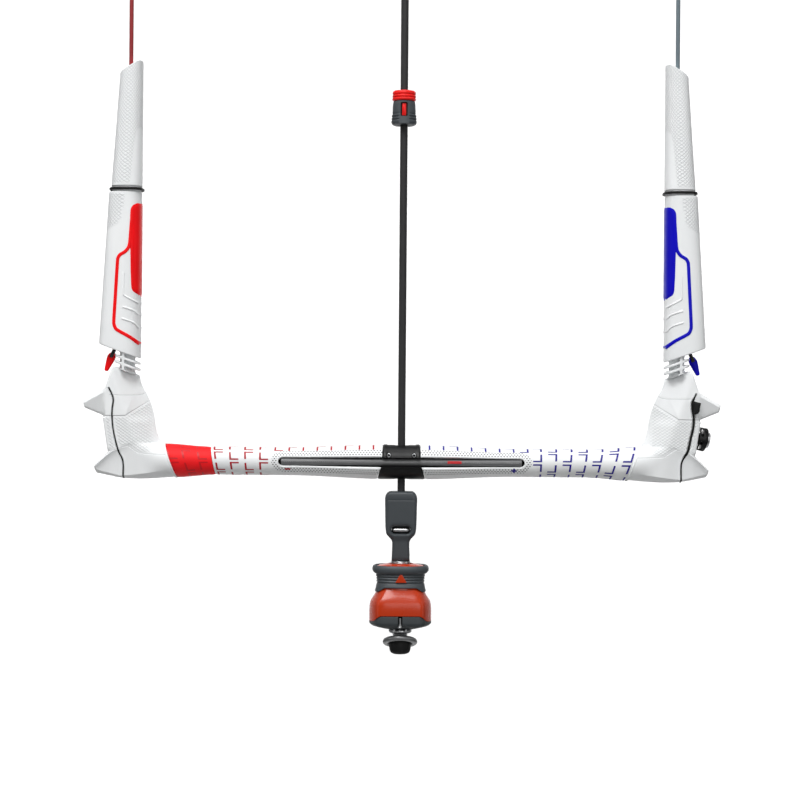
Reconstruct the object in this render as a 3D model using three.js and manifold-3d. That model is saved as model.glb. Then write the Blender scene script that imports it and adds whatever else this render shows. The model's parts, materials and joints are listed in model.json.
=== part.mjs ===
// Kitesurf control bar: the bar a rider holds to steer and depower a kite, with its floats, leader lines,
// depower line, line stopper and quick release. The optional harness loop is not part of it.
//
// Frame: millimetres, +Z up along the depower line, +X along the bar towards its power-adjuster end, -Y towards
// the side with the indicator slot. The origin is on the line's axis, at the quick release's flat bottom, where
// a harness loop is fitted. Inside each function z = 0 is the bar's axis, unless a group says otherwise.

import * as THREE from "three";
import { mergeVertices } from "three/addons/utils/BufferGeometryUtils.js";
import Module from "manifold-3d";

const wasm = await Module();
wasm.setup();

// ---- Driving dimensions -------------------------------------------------------------------------------------
const BAR_HEIGHT = 132.6; // the bar's axis above the origin
const GAP = 0.3; // clearance left between neighbours that touch in the real object
const TILT = THREE.MathUtils.degToRad(12); // how far the bar may tilt on the line when steering

const TUBE = { outer: 9, inner: 7.4, half: 196 };
const GRIP = { bore: TUBE.outer + GAP, radius: 11.2, centreSwell: 2.4, endSwell: 2.2, end: 184, bandStart: 150 };
const SLOT = { half: 98.5, halfHeight: 3.2 };
const TRACK = { radius: 2.4, y: -7.9, grooveHalf: 94, grooveHeight: 3.4, grooveDepth: 1 };
const INDICATOR = { x: 42.2, length: 11.5, height: 2.8, depth: 1.3 };
const CENTRE = { half: 15, radius: 13.9, flare: 3.7, screwX: 10, screwZ: 5.6 };

const LINE = { radius: 3, bottom: -40, top: 385 }; // the depower line
const BUSHING = { radius: 4.6, height: 6.6, bore: LINE.radius + 0.25 };
const LEADER = { radius: 1.6, x: 218.5, bottom: 300, top: 381 };

const ELASTIC_STEPS = 26;
const END = { depth: 22, bevel: 2.5, slope: 0.3585, boreEnd: 198.3 }; // the moulded bar ends
const NECK = { x: 219.5, z: 78, height: 12.7, core: 6, rib: 9.6, depth: 12.4, ribHeight: 1.9, pitch: 4.84, slope: 0.3547,
  spineX: 1.8 };
const FLOAT = { inner: 209.2, bottomOuter: 242.2, shoulderOuter: 234.6, topOuter: 226.6 };

const HEAD = { top: -23.3, seam: -29.9, wideEnd: -56.8, neckTop: -62.3, bottom: -78.9, depth: 13, pinZ: -54,
  neckRadius: 8.9 };
const RELEASE = { flat: 0.74, rim: 22, waist: 19.3, body: 24.8, bottom: -BAR_HEIGHT, travel: 14 };
const STOPPER = { bottom: 269.1, top: 289.3, collarTop: 297.8 };
const KNOB = { x: 236.6, z: 20.7, droop: THREE.MathUtils.degToRad(10.8), radius: 9.2 };

// ---- Finishes -----------------------------------------------------------------------------------------------
const finish = (color, roughness, metalness = 0) =>
  new THREE.MeshStandardMaterial({ color, roughness, metalness });
const WHITE_FOAM = finish(0xf0f2f2, 0.55);
const RED_FOAM = finish(0xe31b23, 0.5);
const RED_PRINT = finish(0xe8141c, 0.4);
const BLUE_PRINT = finish(0x1a12b4, 0.4);
const RED_PLASTIC = finish(0xd8361c, 0.35);
const GREY_PLASTIC = finish(0x44494d, 0.55);
const BLACK_PLASTIC = finish(0x202123, 0.5);
const BLACK_RUBBER = finish(0x18191a, 0.7);
const STEEL = finish(0xa9abad, 0.25, 1);
const ALUMINIUM = finish(0xb9bcc0, 0.35, 1);
const BLACK_LINE = finish(0x2b2b2c, 0.6);
const RED_LINE = finish(0xb02a30, 0.7);
const GREY_LINE = finish(0x7f8f97, 0.7);

// ---- Geometry helpers ---------------------------------------------------------------------------------------
const clamp01 = (t) => Math.min(1, Math.max(0, t));
const smooth = (t) => clamp01(t) ** 2 * (3 - 2 * clamp01(t));
const lerp = (a, b, t) => a + (b - a) * t;

// A closed geometry as a manifold-3d solid, turned right side out.
function solid(geometry) {
  const bare = new THREE.BufferGeometry();
  bare.setAttribute("position", geometry.getAttribute("position").clone());
  if (geometry.index) bare.setIndex(geometry.index.clone());
  const merged = mergeVertices(bare, 1e-4);
  const vertProperties = new Float32Array(merged.getAttribute("position").array);
  const corners = [...merged.index.array];
  const real = (_, i) => {
    const [a, b, c] = corners.slice(i - (i % 3), i - (i % 3) + 3);
    return a !== b && b !== c && c !== a;
  };
  const triVerts = new Uint32Array(corners.filter(real));
  const make = () => new wasm.Manifold(new wasm.Mesh({ numProp: 3, vertProperties, triVerts }));
  const first = make();
  if (first.volume() >= 0) return first;
  for (let i = 0; i < triVerts.length; i += 3) {
    [triVerts[i + 1], triVerts[i + 2]] = [triVerts[i + 2], triVerts[i + 1]];
  }
  return make();
}

// A solid as a three.js geometry.
function shape(made) {
  const mesh = made.getMesh();
  const geometry = new THREE.BufferGeometry();
  geometry.setAttribute("position", new THREE.BufferAttribute(new Float32Array(mesh.vertProperties), 3));
  geometry.setIndex(new THREE.BufferAttribute(new Uint32Array(mesh.triVerts), 1));
  geometry.computeVertexNormals();
  return geometry;
}

const cut = (body, ...tools) => tools.reduce((left, tool) => left.subtract(solid(tool)), solid(body));
const joined = (...bodies) => bodies.reduce((all, body) => all.add(solid(body)), solid(bodies[0]));

// Moves every vertex of a geometry by a function of its place.
function remapped(geometry, place) {
  const position = geometry.getAttribute("position");
  const p = new THREE.Vector3();
  for (let i = 0; i < position.count; i++) {
    p.fromBufferAttribute(position, i);
    place(p);
    position.setXYZ(i, p.x, p.y, p.z);
  }
  return geometry;
}

// A turned solid about Z. Profile points are [radius, z], and the profile closes on itself or on the axis.
function turned(profile, segments = 20) {
  const points = profile.map(([r, z]) => new THREE.Vector2(r, z));
  return new THREE.LatheGeometry(points, segments).rotateX(Math.PI / 2);
}

const ring = (inner, outer, low, high, segments = 20) =>
  turned([[inner, low], [outer, low], [outer, high], [inner, high], [inner, low]], segments);

const disc = (radius, low, high, segments = 20) =>
  turned([[0, low], [radius, low], [radius, high], [0, high]], segments);

const alongX = (geometry) => geometry.rotateY(Math.PI / 2);
const box = (x, y, z, cx = 0, cy = 0, cz = 0) => new THREE.BoxGeometry(x, y, z).translate(cx, cy, cz);

// A front-view outline (x, z) as a plate between two depths.
function plate(outline, front, back, options = {}) {
  const depth = back - front;
  const geometry = new THREE.ExtrudeGeometry(outline, { depth, bevelEnabled: false, curveSegments: 4, ...options });
  return geometry.rotateX(Math.PI / 2).translate(0, back, 0);
}

// A front-view outline with rounded front and back edges.
function softPlate(outline, depth, bevel, bevelSegments = 2) {
  const rounding = { bevelEnabled: true, bevelThickness: bevel, bevelSize: bevel, bevelOffset: -bevel, bevelSegments };
  return plate(outline, -depth / 2, depth / 2, rounding);
}

function outlineOf(points) {
  const outline = new THREE.Shape();
  outline.moveTo(...points[0]);
  points.slice(1).forEach((point) => outline.lineTo(...point));
  return outline;
}

// A slot outline with round ends, centred on a point and long in its first direction.
function stadium(halfLength, radius, x = 0, y = 0, Kind = THREE.Shape) {
  const straight = halfLength - radius;
  const outline = new Kind();
  outline.moveTo(x - straight, y - radius);
  outline.absarc(x + straight, y, radius, -Math.PI / 2, Math.PI / 2, false);
  outline.absarc(x - straight, y, radius, Math.PI / 2, 1.5 * Math.PI, false);
  return outline;
}

// A vertical hole, longer in X than in Y, that leaves room for the tilting line at the given height.
function lineHole(height) {
  const halfLength = height * Math.tan(TILT) + LINE.radius / Math.cos(TILT) + 0.4;
  const outline = stadium(halfLength, LINE.radius + 0.4);
  return new THREE.ExtrudeGeometry(outline, { depth: 2 * height + 4, bevelEnabled: false, curveSegments: 5 })
    .translate(0, 0, -height - 2);
}

// A round cord along a closed curve, made from a torus so that it has no seam.
function closedCord(curve, radius, steps, sides = 5) {
  const frames = curve.computeFrenetFrames(steps, true);
  const torus = new THREE.TorusGeometry(1, 0.25, sides, steps);
  return remapped(torus, (p) => {
    const turn = (Math.atan2(p.y, p.x) / (2 * Math.PI) + 1) % 1;
    const step = Math.round(turn * steps) % steps;
    const across = (Math.hypot(p.x, p.y) - 1) / 0.25;
    const up = p.z / 0.25;
    p.copy(curve.getPointAt(step / steps))
      .addScaledVector(frames.normals[step], across * radius)
      .addScaledVector(frames.binormals[step], up * radius);
  });
}

function mesh(name, made3d, material) {
  const body = made3d instanceof THREE.BufferGeometry ? solid(made3d) : made3d;
  const made = new THREE.Mesh(shape(body), material);
  made.name = name;
  return made;
}

function group(...children) {
  const made = new THREE.Group();
  made.add(...children);
  return made;
}

// ---- The bar ------------------------------------------------------------------------------------------------
function gripRadius(x) {
  const away = Math.abs(x);
  const centre = GRIP.centreSwell * smooth(1 - (away - CENTRE.half) / 75);
  const end = GRIP.endSwell * smooth((away - 150) / 34);
  return GRIP.radius + centre + end;
}

// The bar's joints lean: square at the slot, sloping more and more towards the ends, and flared under the centre.
function leaned(geometry) {
  return remapped(geometry, (p) => {
    const away = Math.abs(p.x);
    const lean = END.slope * clamp01((away - 100) / (GRIP.end - 100)) ** 1.3;
    const flare = CENTRE.flare * smooth(-p.z / 13) * smooth((45 - away) / 30) * Math.min(1, away / CENTRE.half);
    p.x += Math.sign(p.x) * (lean * p.z + flare);
  });
}

function gripSleeve(start, end, steps) {
  const profile = [[GRIP.bore, start]];
  for (let i = 0; i <= steps; i++) {
    const x = lerp(start, end, i / steps);
    profile.push([gripRadius(x), x]);
  }
  profile.push([GRIP.bore, end], [GRIP.bore, start]);
  return leaned(alongX(turned(profile)));
}

const slotCutter = (halfLength, halfHeight) =>
  plate(stadium(halfLength, halfHeight), -20, TRACK.y + TRACK.radius + 0.3);

function barTube() {
  const tube = alongX(ring(TUBE.inner, TUBE.outer, -TUBE.half, TUBE.half));
  const screwHoles = [-1, 1].map((side) =>
    disc(1.4, 0, 12, 10).rotateX(Math.PI / 2).translate(side * CENTRE.screwX, -3, CENTRE.screwZ));
  return cut(tube, slotCutter(SLOT.half + 0.5, TRACK.radius + 0.4), lineHole(TUBE.outer), ...screwHoles);
}

// The plastic block in the tube that the line's bushing rocks in.
function centreCore() {
  const block = alongX(disc(TUBE.inner - GAP, -16, 16));
  const seat = new THREE.SphereGeometry(BUSHING.radius + GAP, 16, 8);
  return cut(block, slotCutter(SLOT.half, TRACK.radius + 0.4), lineHole(TUBE.inner), seat);
}

function lineBushing() {
  const half = BUSHING.height / 2;
  const profile = [[BUSHING.bore, -half]];
  for (let i = 0; i <= 4; i++) {
    const z = lerp(-half, half, i / 4);
    profile.push([Math.sqrt(BUSHING.radius ** 2 - z ** 2), z]);
  }
  profile.push([BUSHING.bore, half], [BUSHING.bore, -half]);
  return turned(profile, 16);
}

// One of the two centre shells that clamp round the tube: side 1 is the upper, -1 the lower.
function centreShell(side) {
  const steps = 4;
  const profile = [[GRIP.bore, -CENTRE.half]];
  for (let i = 0; i <= steps; i++) profile.push([CENTRE.radius, lerp(-CENTRE.half, CENTRE.half, i / steps)]);
  profile.push([GRIP.bore, CENTRE.half], [GRIP.bore, -CENTRE.half]);
  const shell = leaned(alongX(turned(profile)));
  const otherHalf = box(60, 40, 30, 0, 0, -side * (15 - GAP / 2));
  const screwHoles = [-1, 1].map((end) =>
    disc(1.95, 0, 12, 10).rotateX(Math.PI / 2).translate(end * CENTRE.screwX, -6, CENTRE.screwZ));
  const tools = [otherHalf, slotCutter(SLOT.half, SLOT.halfHeight), lineHole(CENTRE.radius)];
  if (side > 0) tools.push(...screwHoles);
  return cut(shell, ...tools);
}

function centreScrew() {
  const profile = [[0, 0], [1, 0], [1, 3.4], [1.7, 3.4], [1.7, 4.7], [0.8, 4.9], [0.8, 4.2], [0, 4.2]];
  return turned(profile, 10).rotateX(Math.PI / 2);
}

function indicatorTrack() {
  const { radius, y, grooveHalf, grooveHeight, grooveDepth } = TRACK;
  const rod = new THREE.CapsuleGeometry(radius, 2 * (SLOT.half - 0.5 - radius), 2, 12)
    .rotateZ(Math.PI / 2).translate(0, y, 0);
  return cut(rod, box(2 * grooveHalf, 4, grooveHeight, 0, y - radius - 2 + grooveDepth, 0));
}

function indicator() {
  const { x, length, height, depth } = INDICATOR;
  const back = TRACK.y - TRACK.radius + TRACK.grooveDepth - 0.15;
  return softPlate(stadium(length / 2, height / 2), depth - 0.6, 0.3, 1).translate(x, back - depth / 2, 0);
}

function bar() {
  const slot = slotCutter(SLOT.half, SLOT.halfHeight);
  const inner = CENTRE.half + GAP;
  const screws = [-1, 1].map((side) => {
    const screw = mesh(side < 0 ? "left_centre_screw" : "right_centre_screw", centreScrew(), STEEL);
    screw.position.set(side * CENTRE.screwX, -7.8, CENTRE.screwZ);
    return screw;
  });
  return group(
    mesh("bar_tube", barTube(), ALUMINIUM),
    mesh("centre_core", centreCore(), BLACK_PLASTIC),
    mesh("line_bushing", lineBushing(), STEEL),
    mesh("centre_upper_shell", centreShell(1), BLACK_PLASTIC),
    mesh("centre_lower_shell", centreShell(-1), BLACK_PLASTIC),
    ...screws,
    mesh("indicator_track", indicatorTrack(), BLACK_PLASTIC),
    mesh("depower_indicator", indicator(), RED_PRINT),
    mesh("left_grip", cut(gripSleeve(-GRIP.bandStart, -inner, 9), slot), WHITE_FOAM),
    mesh("left_grip_band", gripSleeve(GAP - GRIP.end, -GRIP.bandStart - GAP, 3), RED_FOAM),
    mesh("right_grip", cut(gripSleeve(inner, GRIP.end - GAP, 12), slot), WHITE_FOAM),
  );
}

// ---- Bar ends, drawn for the +X side ------------------------------------------------------------------------
// The end seen from the front: from the grip joint, up the inside curve to the neck seat, down the outside over
// the two horns that flying lines are wound on, and back along the underside.
function endOutline() {
  return outlineOf([[GRIP.end - END.slope * 12.7, -12.7], [GRIP.end + END.slope * 14, 14], [192.6, 16.4],
    [195.2, 20.6], [196.4, 27], [197.4, 34], [199.2, 42], [202.4, 50], [206.2, 57], [209, 62.4], [209.5, 67.8],
    [229.9, 74.6], [236, 57.2], [253.5, 46.5], [252.2, 41], [237.4, 35.8], [233.2, 6.5], [244.4, -5],
    [243.3, -10.7], [222.4, -14.3], [208, -15], [194, -14.4]]);
}

// The elastic's loop round the end, lying in its groove on both faces.
function elasticPath() {
  const face = END.depth / 2 + END.bevel + 0.2;
  const front = [[235.4, 56.5], [231.4, 46], [232.3, 33.4], [230.8, 20], [226.6, 7], [223.3, -4], [222.8, -12]];
  const there = front.map(([x, z]) => new THREE.Vector3(x, -face, z));
  const back = [...front].reverse().map(([x, z]) => new THREE.Vector3(x, face, z));
  const under = [-0.7, 0.7].map((t) => new THREE.Vector3(222.6, t * face, -15));
  const over = [0.7, -0.7].map((t) => new THREE.Vector3(236.8, t * face, 58.4));
  return new THREE.CatmullRomCurve3([...there, ...under, ...back, ...over], true, "centripetal");
}

function endBody(elasticRadius, ...extraTools) {
  const body = softPlate(endOutline(), END.depth, END.bevel);
  const tubeBore = alongX(disc(GRIP.bore, 150, END.boreEnd));
  const leaderBore = disc(2.4, 25, 90, 10).translate(LEADER.x, 0, 0);
  return cut(body, tubeBore, leaderBore, closedCord(elasticPath(), elasticRadius + GAP, ELASTIC_STEPS), ...extraTools);
}

const elastic = (radius) => closedCord(elasticPath(), radius, ELASTIC_STEPS);

// ---- Power adjuster on the +X end: built along +Z from the end's side face, then laid on its drooping axis -----
function adjusterWheel() {
  const cap = turned([[0, 3.6], [KNOB.radius, 3.6], [KNOB.radius, 5.8], [8.6, 7], [6.8, 7], [6.8, 5.2], [0, 5.2]], 24);
  const hub = disc(5.4, -1, 4, 16);
  const prongs = [0, 1, 2, 3, 4, 5].map((i) =>
    box(2, 3.6, 3.6, KNOB.radius - 1.2, 0, 2.4).rotateZ((i * Math.PI) / 3));
  return joined(cap, hub, ...prongs).subtract(solid(disc(3, 0.6, 9, 12)));
}

const adjusterSpool = () =>
  turned([[0, -12], [6.6, -12], [6.6, -10.8], [4.8, -10.4], [4.8, -3.6], [6.6, -3.2], [6.6, -2], [0, -2]], 16);

const powerButton = () =>
  turned([[0, 3], [2.6, 3], [2.6, 7.4], [6, 7.4], [6.1, 8.6], [5.4, 9.4], [3.6, 9.4], [3.2, 8.8], [0, 8.8]], 16);

const adjusterCavity = () => disc(7.4, -13, 3);

function onKnobAxis(object) {
  object.rotation.y = Math.PI / 2 + KNOB.droop;
  object.position.set(KNOB.x, 0, KNOB.z);
  return object;
}

// The rubber catch beside the upper horn that the elastic's end hooks on.
function elasticCatch() {
  const outline = outlineOf([[233.9, 50.8], [238.5, 48.6], [237.6, 44.8], [237.9, 41.6], [236.6, 39.6], [234.2, 39.2]]);
  return plate(outline, -END.depth / 2 - END.bevel - 3, -END.depth / 2 - END.bevel - GAP);
}

// ---- Floats, drawn for the +X side -----------------------------------------------------------------------------
// A closed float section stack: sides run straight between the two ends, whose edges are rounded.
function floatSolid({ low, high, inner, outer, depth, rounding = 1.6, grow = 0, rows = 4, sides = 16 }) {
  const drum = new THREE.CylinderGeometry(1, 1, 1, sides, rows).rotateX(Math.PI / 2);
  const power = 2 / 2.6;
  return remapped(drum, (p) => {
    const v = 0.5 - 0.5 * Math.cos(Math.PI * (p.z + 0.5));
    const reach = Math.hypot(p.x, p.y);
    const [c, s] = reach > 1e-6 ? [p.x / reach, p.y / reach] : [0, 0];
    const edge = rounding * (1 - Math.sqrt(1 - Math.max(0, 1 - (v * 60) / 4, 1 - ((1 - v) * 60) / 4) ** 2));
    const out = lerp(outer[0], outer[1], v) + grow - edge;
    const into = inner - grow + edge;
    const halfY = lerp(depth[0], depth[1], v) + grow - edge;
    p.x = (out + into) / 2 + (reach * Math.sign(c) * Math.abs(c) ** power * (out - into)) / 2;
    p.y = reach * Math.sign(s) * Math.abs(s) ** power * halfY;
    p.z = lerp(low(p.x), high(p.x), v);
  });
}

const FLOAT_LOWER = {
  low: (x) => 81.2 + NECK.slope * (x - 209.5),
  high: () => 213.8,
  inner: FLOAT.inner,
  outer: [FLOAT.bottomOuter, FLOAT.shoulderOuter],
  depth: [15.5, 12.8],
};
const FLOAT_UPPER = {
  low: () => 218.2,
  high: (x) => 319 - 0.6 * Math.max(0, x - 211),
  inner: 208.8,
  outer: [233.2, FLOAT.topOuter],
  depth: [12.6, 9.6],
};
const FLOAT_SPIGOT = {
  low: () => 214.1,
  high: () => 222,
  inner: 212.2,
  outer: [229.8, 229.8],
  depth: [9.6, 9.6],
  rounding: 0,
  rows: 2,
};

const leaderBore = () => disc(LEADER.radius + 0.5, 60, 340, 10).translate(LEADER.x, 0, 0);

// The coloured inlay: a shield round the float's inner edge with a thin border line below it.
function inlayOutline() {
  const points = [[205, 206.5], [213, 204.8], [217.5, 202], [218.9, 170], [220.5, 166.8], [226.8, 163.6], [228, 161.5],
    [231.4, 112], [230, 107], [227, 104.3], [205, 91.9], [205, 94.4], [226.3, 106.4], [228.6, 110], [229.1, 112],
    [225.8, 160.6], [225, 162], [219, 165], [217.2, 167.6], [216.2, 137], [215.2, 135.2], [205, 131]];
  return outlineOf(points);
}

function inlay() {
  const skin = solid(floatSolid({ ...FLOAT_LOWER, grow: 1.1 })).subtract(solid(floatSolid({ ...FLOAT_LOWER, grow: GAP })));
  return skin.intersect(solid(plate(inlayOutline(), -30, 30)));
}

function bandRing() {
  const centre = (FLOAT_UPPER.inner + FLOAT_UPPER.outer[0]) / 2;
  const torus = new THREE.TorusGeometry(12.4, 1.4, 6, 20);
  return remapped(torus, (p) => {
    p.x = centre + p.x * 1.03;
  }).translate(0, 0, 216.2);
}

function neck() {
  const half = NECK.height / 2;
  const ribs = [-0.5, 0.5].map((i) => disc(NECK.rib, i * NECK.pitch - NECK.ribHeight / 2,
    i * NECK.pitch + NECK.ribHeight / 2, 18).scale(1, NECK.depth / NECK.rib, 1));
  const spine = box(1.8, 2 * NECK.depth - 1, NECK.height - 0.4, NECK.spineX);
  const made = joined(disc(NECK.core, -half, half, 14), ...ribs, spine).subtract(solid(disc(2.4, -20, 20, 8)));
  return remapped(shape(made), (p) => {
    p.z += NECK.slope * p.x;
  });
}

// ---- Pull tabs: they hang from the float's underside, drawn hanging straight down from their cord's exit ---------
const TAB = { x: 230.4, z: 87.2, swing: THREE.MathUtils.degToRad(21) };

function tabBody() {
  const outline = outlineOf([[-1.9, -3.6], [1.9, -3.6], [3, -7.4], [1.3, -17]]);
  outline.absarc(0, -17, 1.3, 0, -Math.PI, true);
  outline.lineTo(-3, -7.4);
  return cut(softPlate(outline, 2.4, 0.6, 1), disc(1.5, -7.4, 0, 8));
}

const tabCord = () => disc(1.1, -7, -0.9, 8);

// ---- Leader lines -------------------------------------------------------------------------------------------------
// A straight cord, as a section swept along its line.
function straightCord(radius, low, high) {
  const steps = Math.round((high - low) / (5 * radius));
  const section = new THREE.Shape().absarc(0, 0, radius, 0, 2 * Math.PI, false);
  const path = new THREE.LineCurve3(new THREE.Vector3(0, 0, low), new THREE.Vector3(0, 0, high));
  return new THREE.ExtrudeGeometry(section, { steps, curveSegments: 4, bevelEnabled: false, extrudePath: path });
}

// A sewn loop that a flying line is hitched to, flat on its front and back.
function lineLoop(width, height, hole, thickness) {
  const outline = stadium(height / 2, width / 2);
  outline.holes.push(stadium(height / 2 - (width - hole) * 0.75, hole / 2, (width - hole) * 0.2, 0, THREE.Path));
  return plate(outline, -thickness / 2, thickness / 2).rotateY(-Math.PI / 2)
    .translate(0, 0, height / 2);
}

// ---- One side: everything that repeats at both ends of the bar, mirrored for the -X side -----------------------------
function barSide(name, side, print, lineMaterial, endTools, elasticRadius) {
  const neckMesh = mesh(`${name}_neck`, neck(), WHITE_FOAM);
  neckMesh.position.set(NECK.x, 0, NECK.z);
  const tab = group(
    mesh(`${name}_toggle`, tabBody(), print),
    mesh(`${name}_toggle_cord`, tabCord(), BLACK_LINE),
  );
  tab.position.set(TAB.x, 0, TAB.z);
  tab.rotation.y = -TAB.swing;
  const leader = mesh(`${name}_leader_line`, straightCord(LEADER.radius, LEADER.bottom, LEADER.top), lineMaterial);
  leader.position.x = LEADER.x;
  const loop = mesh(`${name}_leader_loop`, lineLoop(8, 17, 3.6, 3), lineMaterial);
  loop.position.set(LEADER.x, 0, LEADER.top + GAP);
  const upper = joined(floatSolid(FLOAT_UPPER), floatSolid(FLOAT_SPIGOT)).subtract(solid(leaderBore()));
  const made = group(
    mesh(`${name}_bar_end`, endBody(elasticRadius, ...endTools), WHITE_FOAM),
    mesh(`${name}_elastic`, elastic(elasticRadius), BLACK_RUBBER),
    neckMesh,
    mesh(`${name}_float_lower`, cut(floatSolid(FLOAT_LOWER), leaderBore()), WHITE_FOAM),
    mesh(`${name}_float_upper`, upper, WHITE_FOAM),
    mesh(`${name}_float_band`, bandRing(), BLACK_RUBBER),
    mesh(`${name}_float_inlay`, inlay(), print),
    tab,
    leader,
    loop,
  );
  made.scale.x = side;
  return made;
}

// ---- Line stopper ---------------------------------------------------------------------------------------------------
function stopperBody() {
  const { bottom, top } = STOPPER;
  const profile = [[3.4, bottom], [9.2, bottom], [10.1, bottom + 1.6], [10.2, bottom + 3], [9.5, bottom + 3.5],
    [10, bottom + 5], [9.3, bottom + 5.7], [9.8, bottom + 7.2], [9.1, bottom + 8], [9.2, bottom + 10], [8.6, top - 1],
    [8, top], [5.9, top], [5.9, bottom + 5.6], [3.4, bottom + 5.6], [3.4, bottom]];
  return cut(turned(profile), box(4.6, 8, top - bottom, 0, -8, (top + bottom) / 2 + 6.4));
}

function stopperCollar() {
  const { bottom, top, collarTop } = STOPPER;
  const low = top + GAP;
  const profile = [[3.4, bottom + 7], [5.6, bottom + 7], [5.6, low], [9, low], [9.4, low + 1.2], [8.9, low + 2.2],
    [9.4, low + 3.2], [9.3, low + 4.6], [8.8, low + 5.4], [9.2, low + 6.4], [8.6, collarTop], [3.4, collarTop],
    [3.4, bottom + 7]];
  const tongue = box(3.6, 4, 10.5, 0, -6.7, bottom + 13);
  return solid(turned(profile)).add(solid(tongue));
}

// ---- Swivel head, below the bar ------------------------------------------------------------------------------------
function headOutline() {
  const { seam, wideEnd, neckTop, bottom } = HEAD;
  const outline = outlineOf([[-7, bottom], [7, bottom], [6.5, neckTop - 1]]);
  outline.quadraticCurveTo(6.8, neckTop + 1.5, 11.2, wideEnd + 0.4);
  outline.lineTo(12.5, seam - GAP);
  outline.lineTo(-12.5, seam - GAP);
  outline.lineTo(-11.2, wideEnd + 0.4);
  outline.quadraticCurveTo(-6.8, neckTop + 1.5, -6.5, neckTop - 1);
  return outline;
}

function headBody() {
  const lineBore = disc(3.5, -49, -20, 14);
  const window = plate(stadium(7.6, 2.3, 0, HEAD.pinZ), -20, 20);
  const pinBore = alongX(disc(2.1, -10.6, 10.6, 12)).translate(0, 0, HEAD.pinZ);
  const shaftBore = disc(4.3, HEAD.bottom - 2, -67.5, 14);
  const roundNeck = ring(HEAD.neckRadius, 16, HEAD.bottom - 1, -64);
  return cut(softPlate(headOutline(), HEAD.depth, 2, 2), lineBore, window, pinBore, shaftBore, roundNeck);
}

function headCap() {
  const { top, seam } = HEAD;
  const outline = outlineOf([[-12.5, seam], [12.5, seam], [12.4, top - 2.6]]);
  outline.quadraticCurveTo(12, top, 8.6, top);
  outline.lineTo(-8.6, top);
  outline.quadraticCurveTo(-12, top, -12.4, top - 2.6);
  return cut(softPlate(outline, HEAD.depth, 2, 2), disc(LINE.radius + 0.3, -40, -10, 20));
}

const headPin = () => alongX(disc(1.8, -10.3, 10.3, 12)).translate(0, 0, HEAD.pinZ);

// ---- Quick release ---------------------------------------------------------------------------------------------------
// Oval pieces are turned and then flattened front to back.
const oval = (profile, segments = 20) => turned(profile, segments).scale(1, RELEASE.flat, 1);

const swivelShaft = () =>
  turned([[0, -95], [6.1, -95], [6.1, -91.3], [4, -91.3], [4, -68], [0, -68]], 16);

const swivelWasher = () => ring(4.4, 7.6, -81, -79.2);

// The fixed core that the release handle slides on; its bore holds the swivel shaft and the loop stud.
function releaseBarrel() {
  const outer = [[8, -124.6], [8, -90], [11.6, -90], [11.6, -87.6], [7.5, -87.2], [7.5, -81.3]];
  const bore = [[4.5, -81.3], [4.5, -91], [6.6, -91], [6.6, -106], [3.9, -106], [3.9, -124.6], [8, -124.6]];
  return turned([...outer, ...bore]);
}

function releaseHandle() {
  const { waist, body } = RELEASE;
  const shell = oval([[0, -124.3], [body, -124.3], [body, -112], [23.4, -108.4], [20.8, -105], [18.6, -103.6],
    [waist - 1.9, -101.8], [waist - 1.8, -89], [18.6, -86], [19.2, -83.6], [13, -81.6], [9.4, -80.9], [0, -80.9]]);
  const springBore = turned([[0, -122], [9, -122], [9, -117], [12.6, -117], [12.6, -86.2], [9.4, -84.6], [9.4, -79],
    [0, -79]]);
  const skirt = oval([[0, -125], [22.6, -125], [22, -119.4], [0, -119.4]]);
  return cut(shell, springBore, skirt);
}

function handleGrip() {
  const { rim, waist } = RELEASE;
  const outer = [[19.6, -82.4], [21.4, -83.2], [rim, -86], [21.2, -88.6], [waist, -91.6], [waist, -98.8],
    [20.6, -102.8], [20.3, -103.6]];
  const inner = [[19.2, -103.1], [waist - 1.4, -101.2], [waist - 1.4, -89.2], [19.1, -86.3], [19.6, -83.5],
    [19.6, -82.4]];
  return oval([...outer, ...inner]);
}

function releaseSpring() {
  const [low, high, turns, radius, wire] = [-115.9, -91.3, 4, 10.3, 0.7];
  class Helix extends THREE.Curve {
    getPoint(t, target = new THREE.Vector3()) {
      const angle = t * turns * 2 * Math.PI;
      return target.set(radius * Math.cos(angle), radius * Math.sin(angle), lerp(low + wire, high - wire, t));
    }
  }
  const section = new THREE.Shape().absarc(0, 0, wire, 0, 2 * Math.PI, false);
  const path = new Helix();
  return new THREE.ExtrudeGeometry(section, { steps: 48, curveSegments: 2, bevelEnabled: false, extrudePath: path });
}

function releaseBase() {
  const { body, bottom } = RELEASE;
  const shell = oval([[0, -124.9], [body, -124.9], [body + 0.1, -127.6], [24, -130], [11.5, bottom], [0, bottom]]);
  const keySlot = plate(stadium(3.4, 1.5).clone(), -30, -14).rotateY(Math.PI / 2).translate(0, 0, -127.6);
  return cut(shell, disc(3.9, -140, -120, 14), keySlot);
}

// The steel tongue that shows in the base's key slot.
const latchTongue = () => box(1.8, 2.2, 5.4, 0, -15.6, -127.6);

// The loop stud: a notched flange under the base with its shank up through the release.
function loopStud() {
  const { bottom } = RELEASE;
  const profile = [[0, -112], [3.5, -112], [3.5, bottom - 0.6], [8.2, bottom - 0.6], [9.1, bottom - 1.8],
    [9.1, bottom - 3.4], [8.2, bottom - 4.4], [6.2, bottom - 4.4], [5.2, bottom - 6], [0, bottom - 6]];
  const notches = [0, 1, 2, 3, 4, 5, 6, 7].map((i) =>
    box(2.6, 1.6, 1.6, 9.2, 0, bottom - 1).rotateZ(((i + 0.5) * Math.PI) / 4));
  return cut(turned(profile, 16), ...notches, disc(1.5, -160, -100, 8));
}

const SAFETY = { ringY: 0.8, ringZ: -144, ringTilt: THREE.MathUtils.degToRad(-20), low: -153.2, high: -142.2 };

const leashRing = () => new THREE.TorusGeometry(11.6, 2.4, 8, 24);

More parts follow.
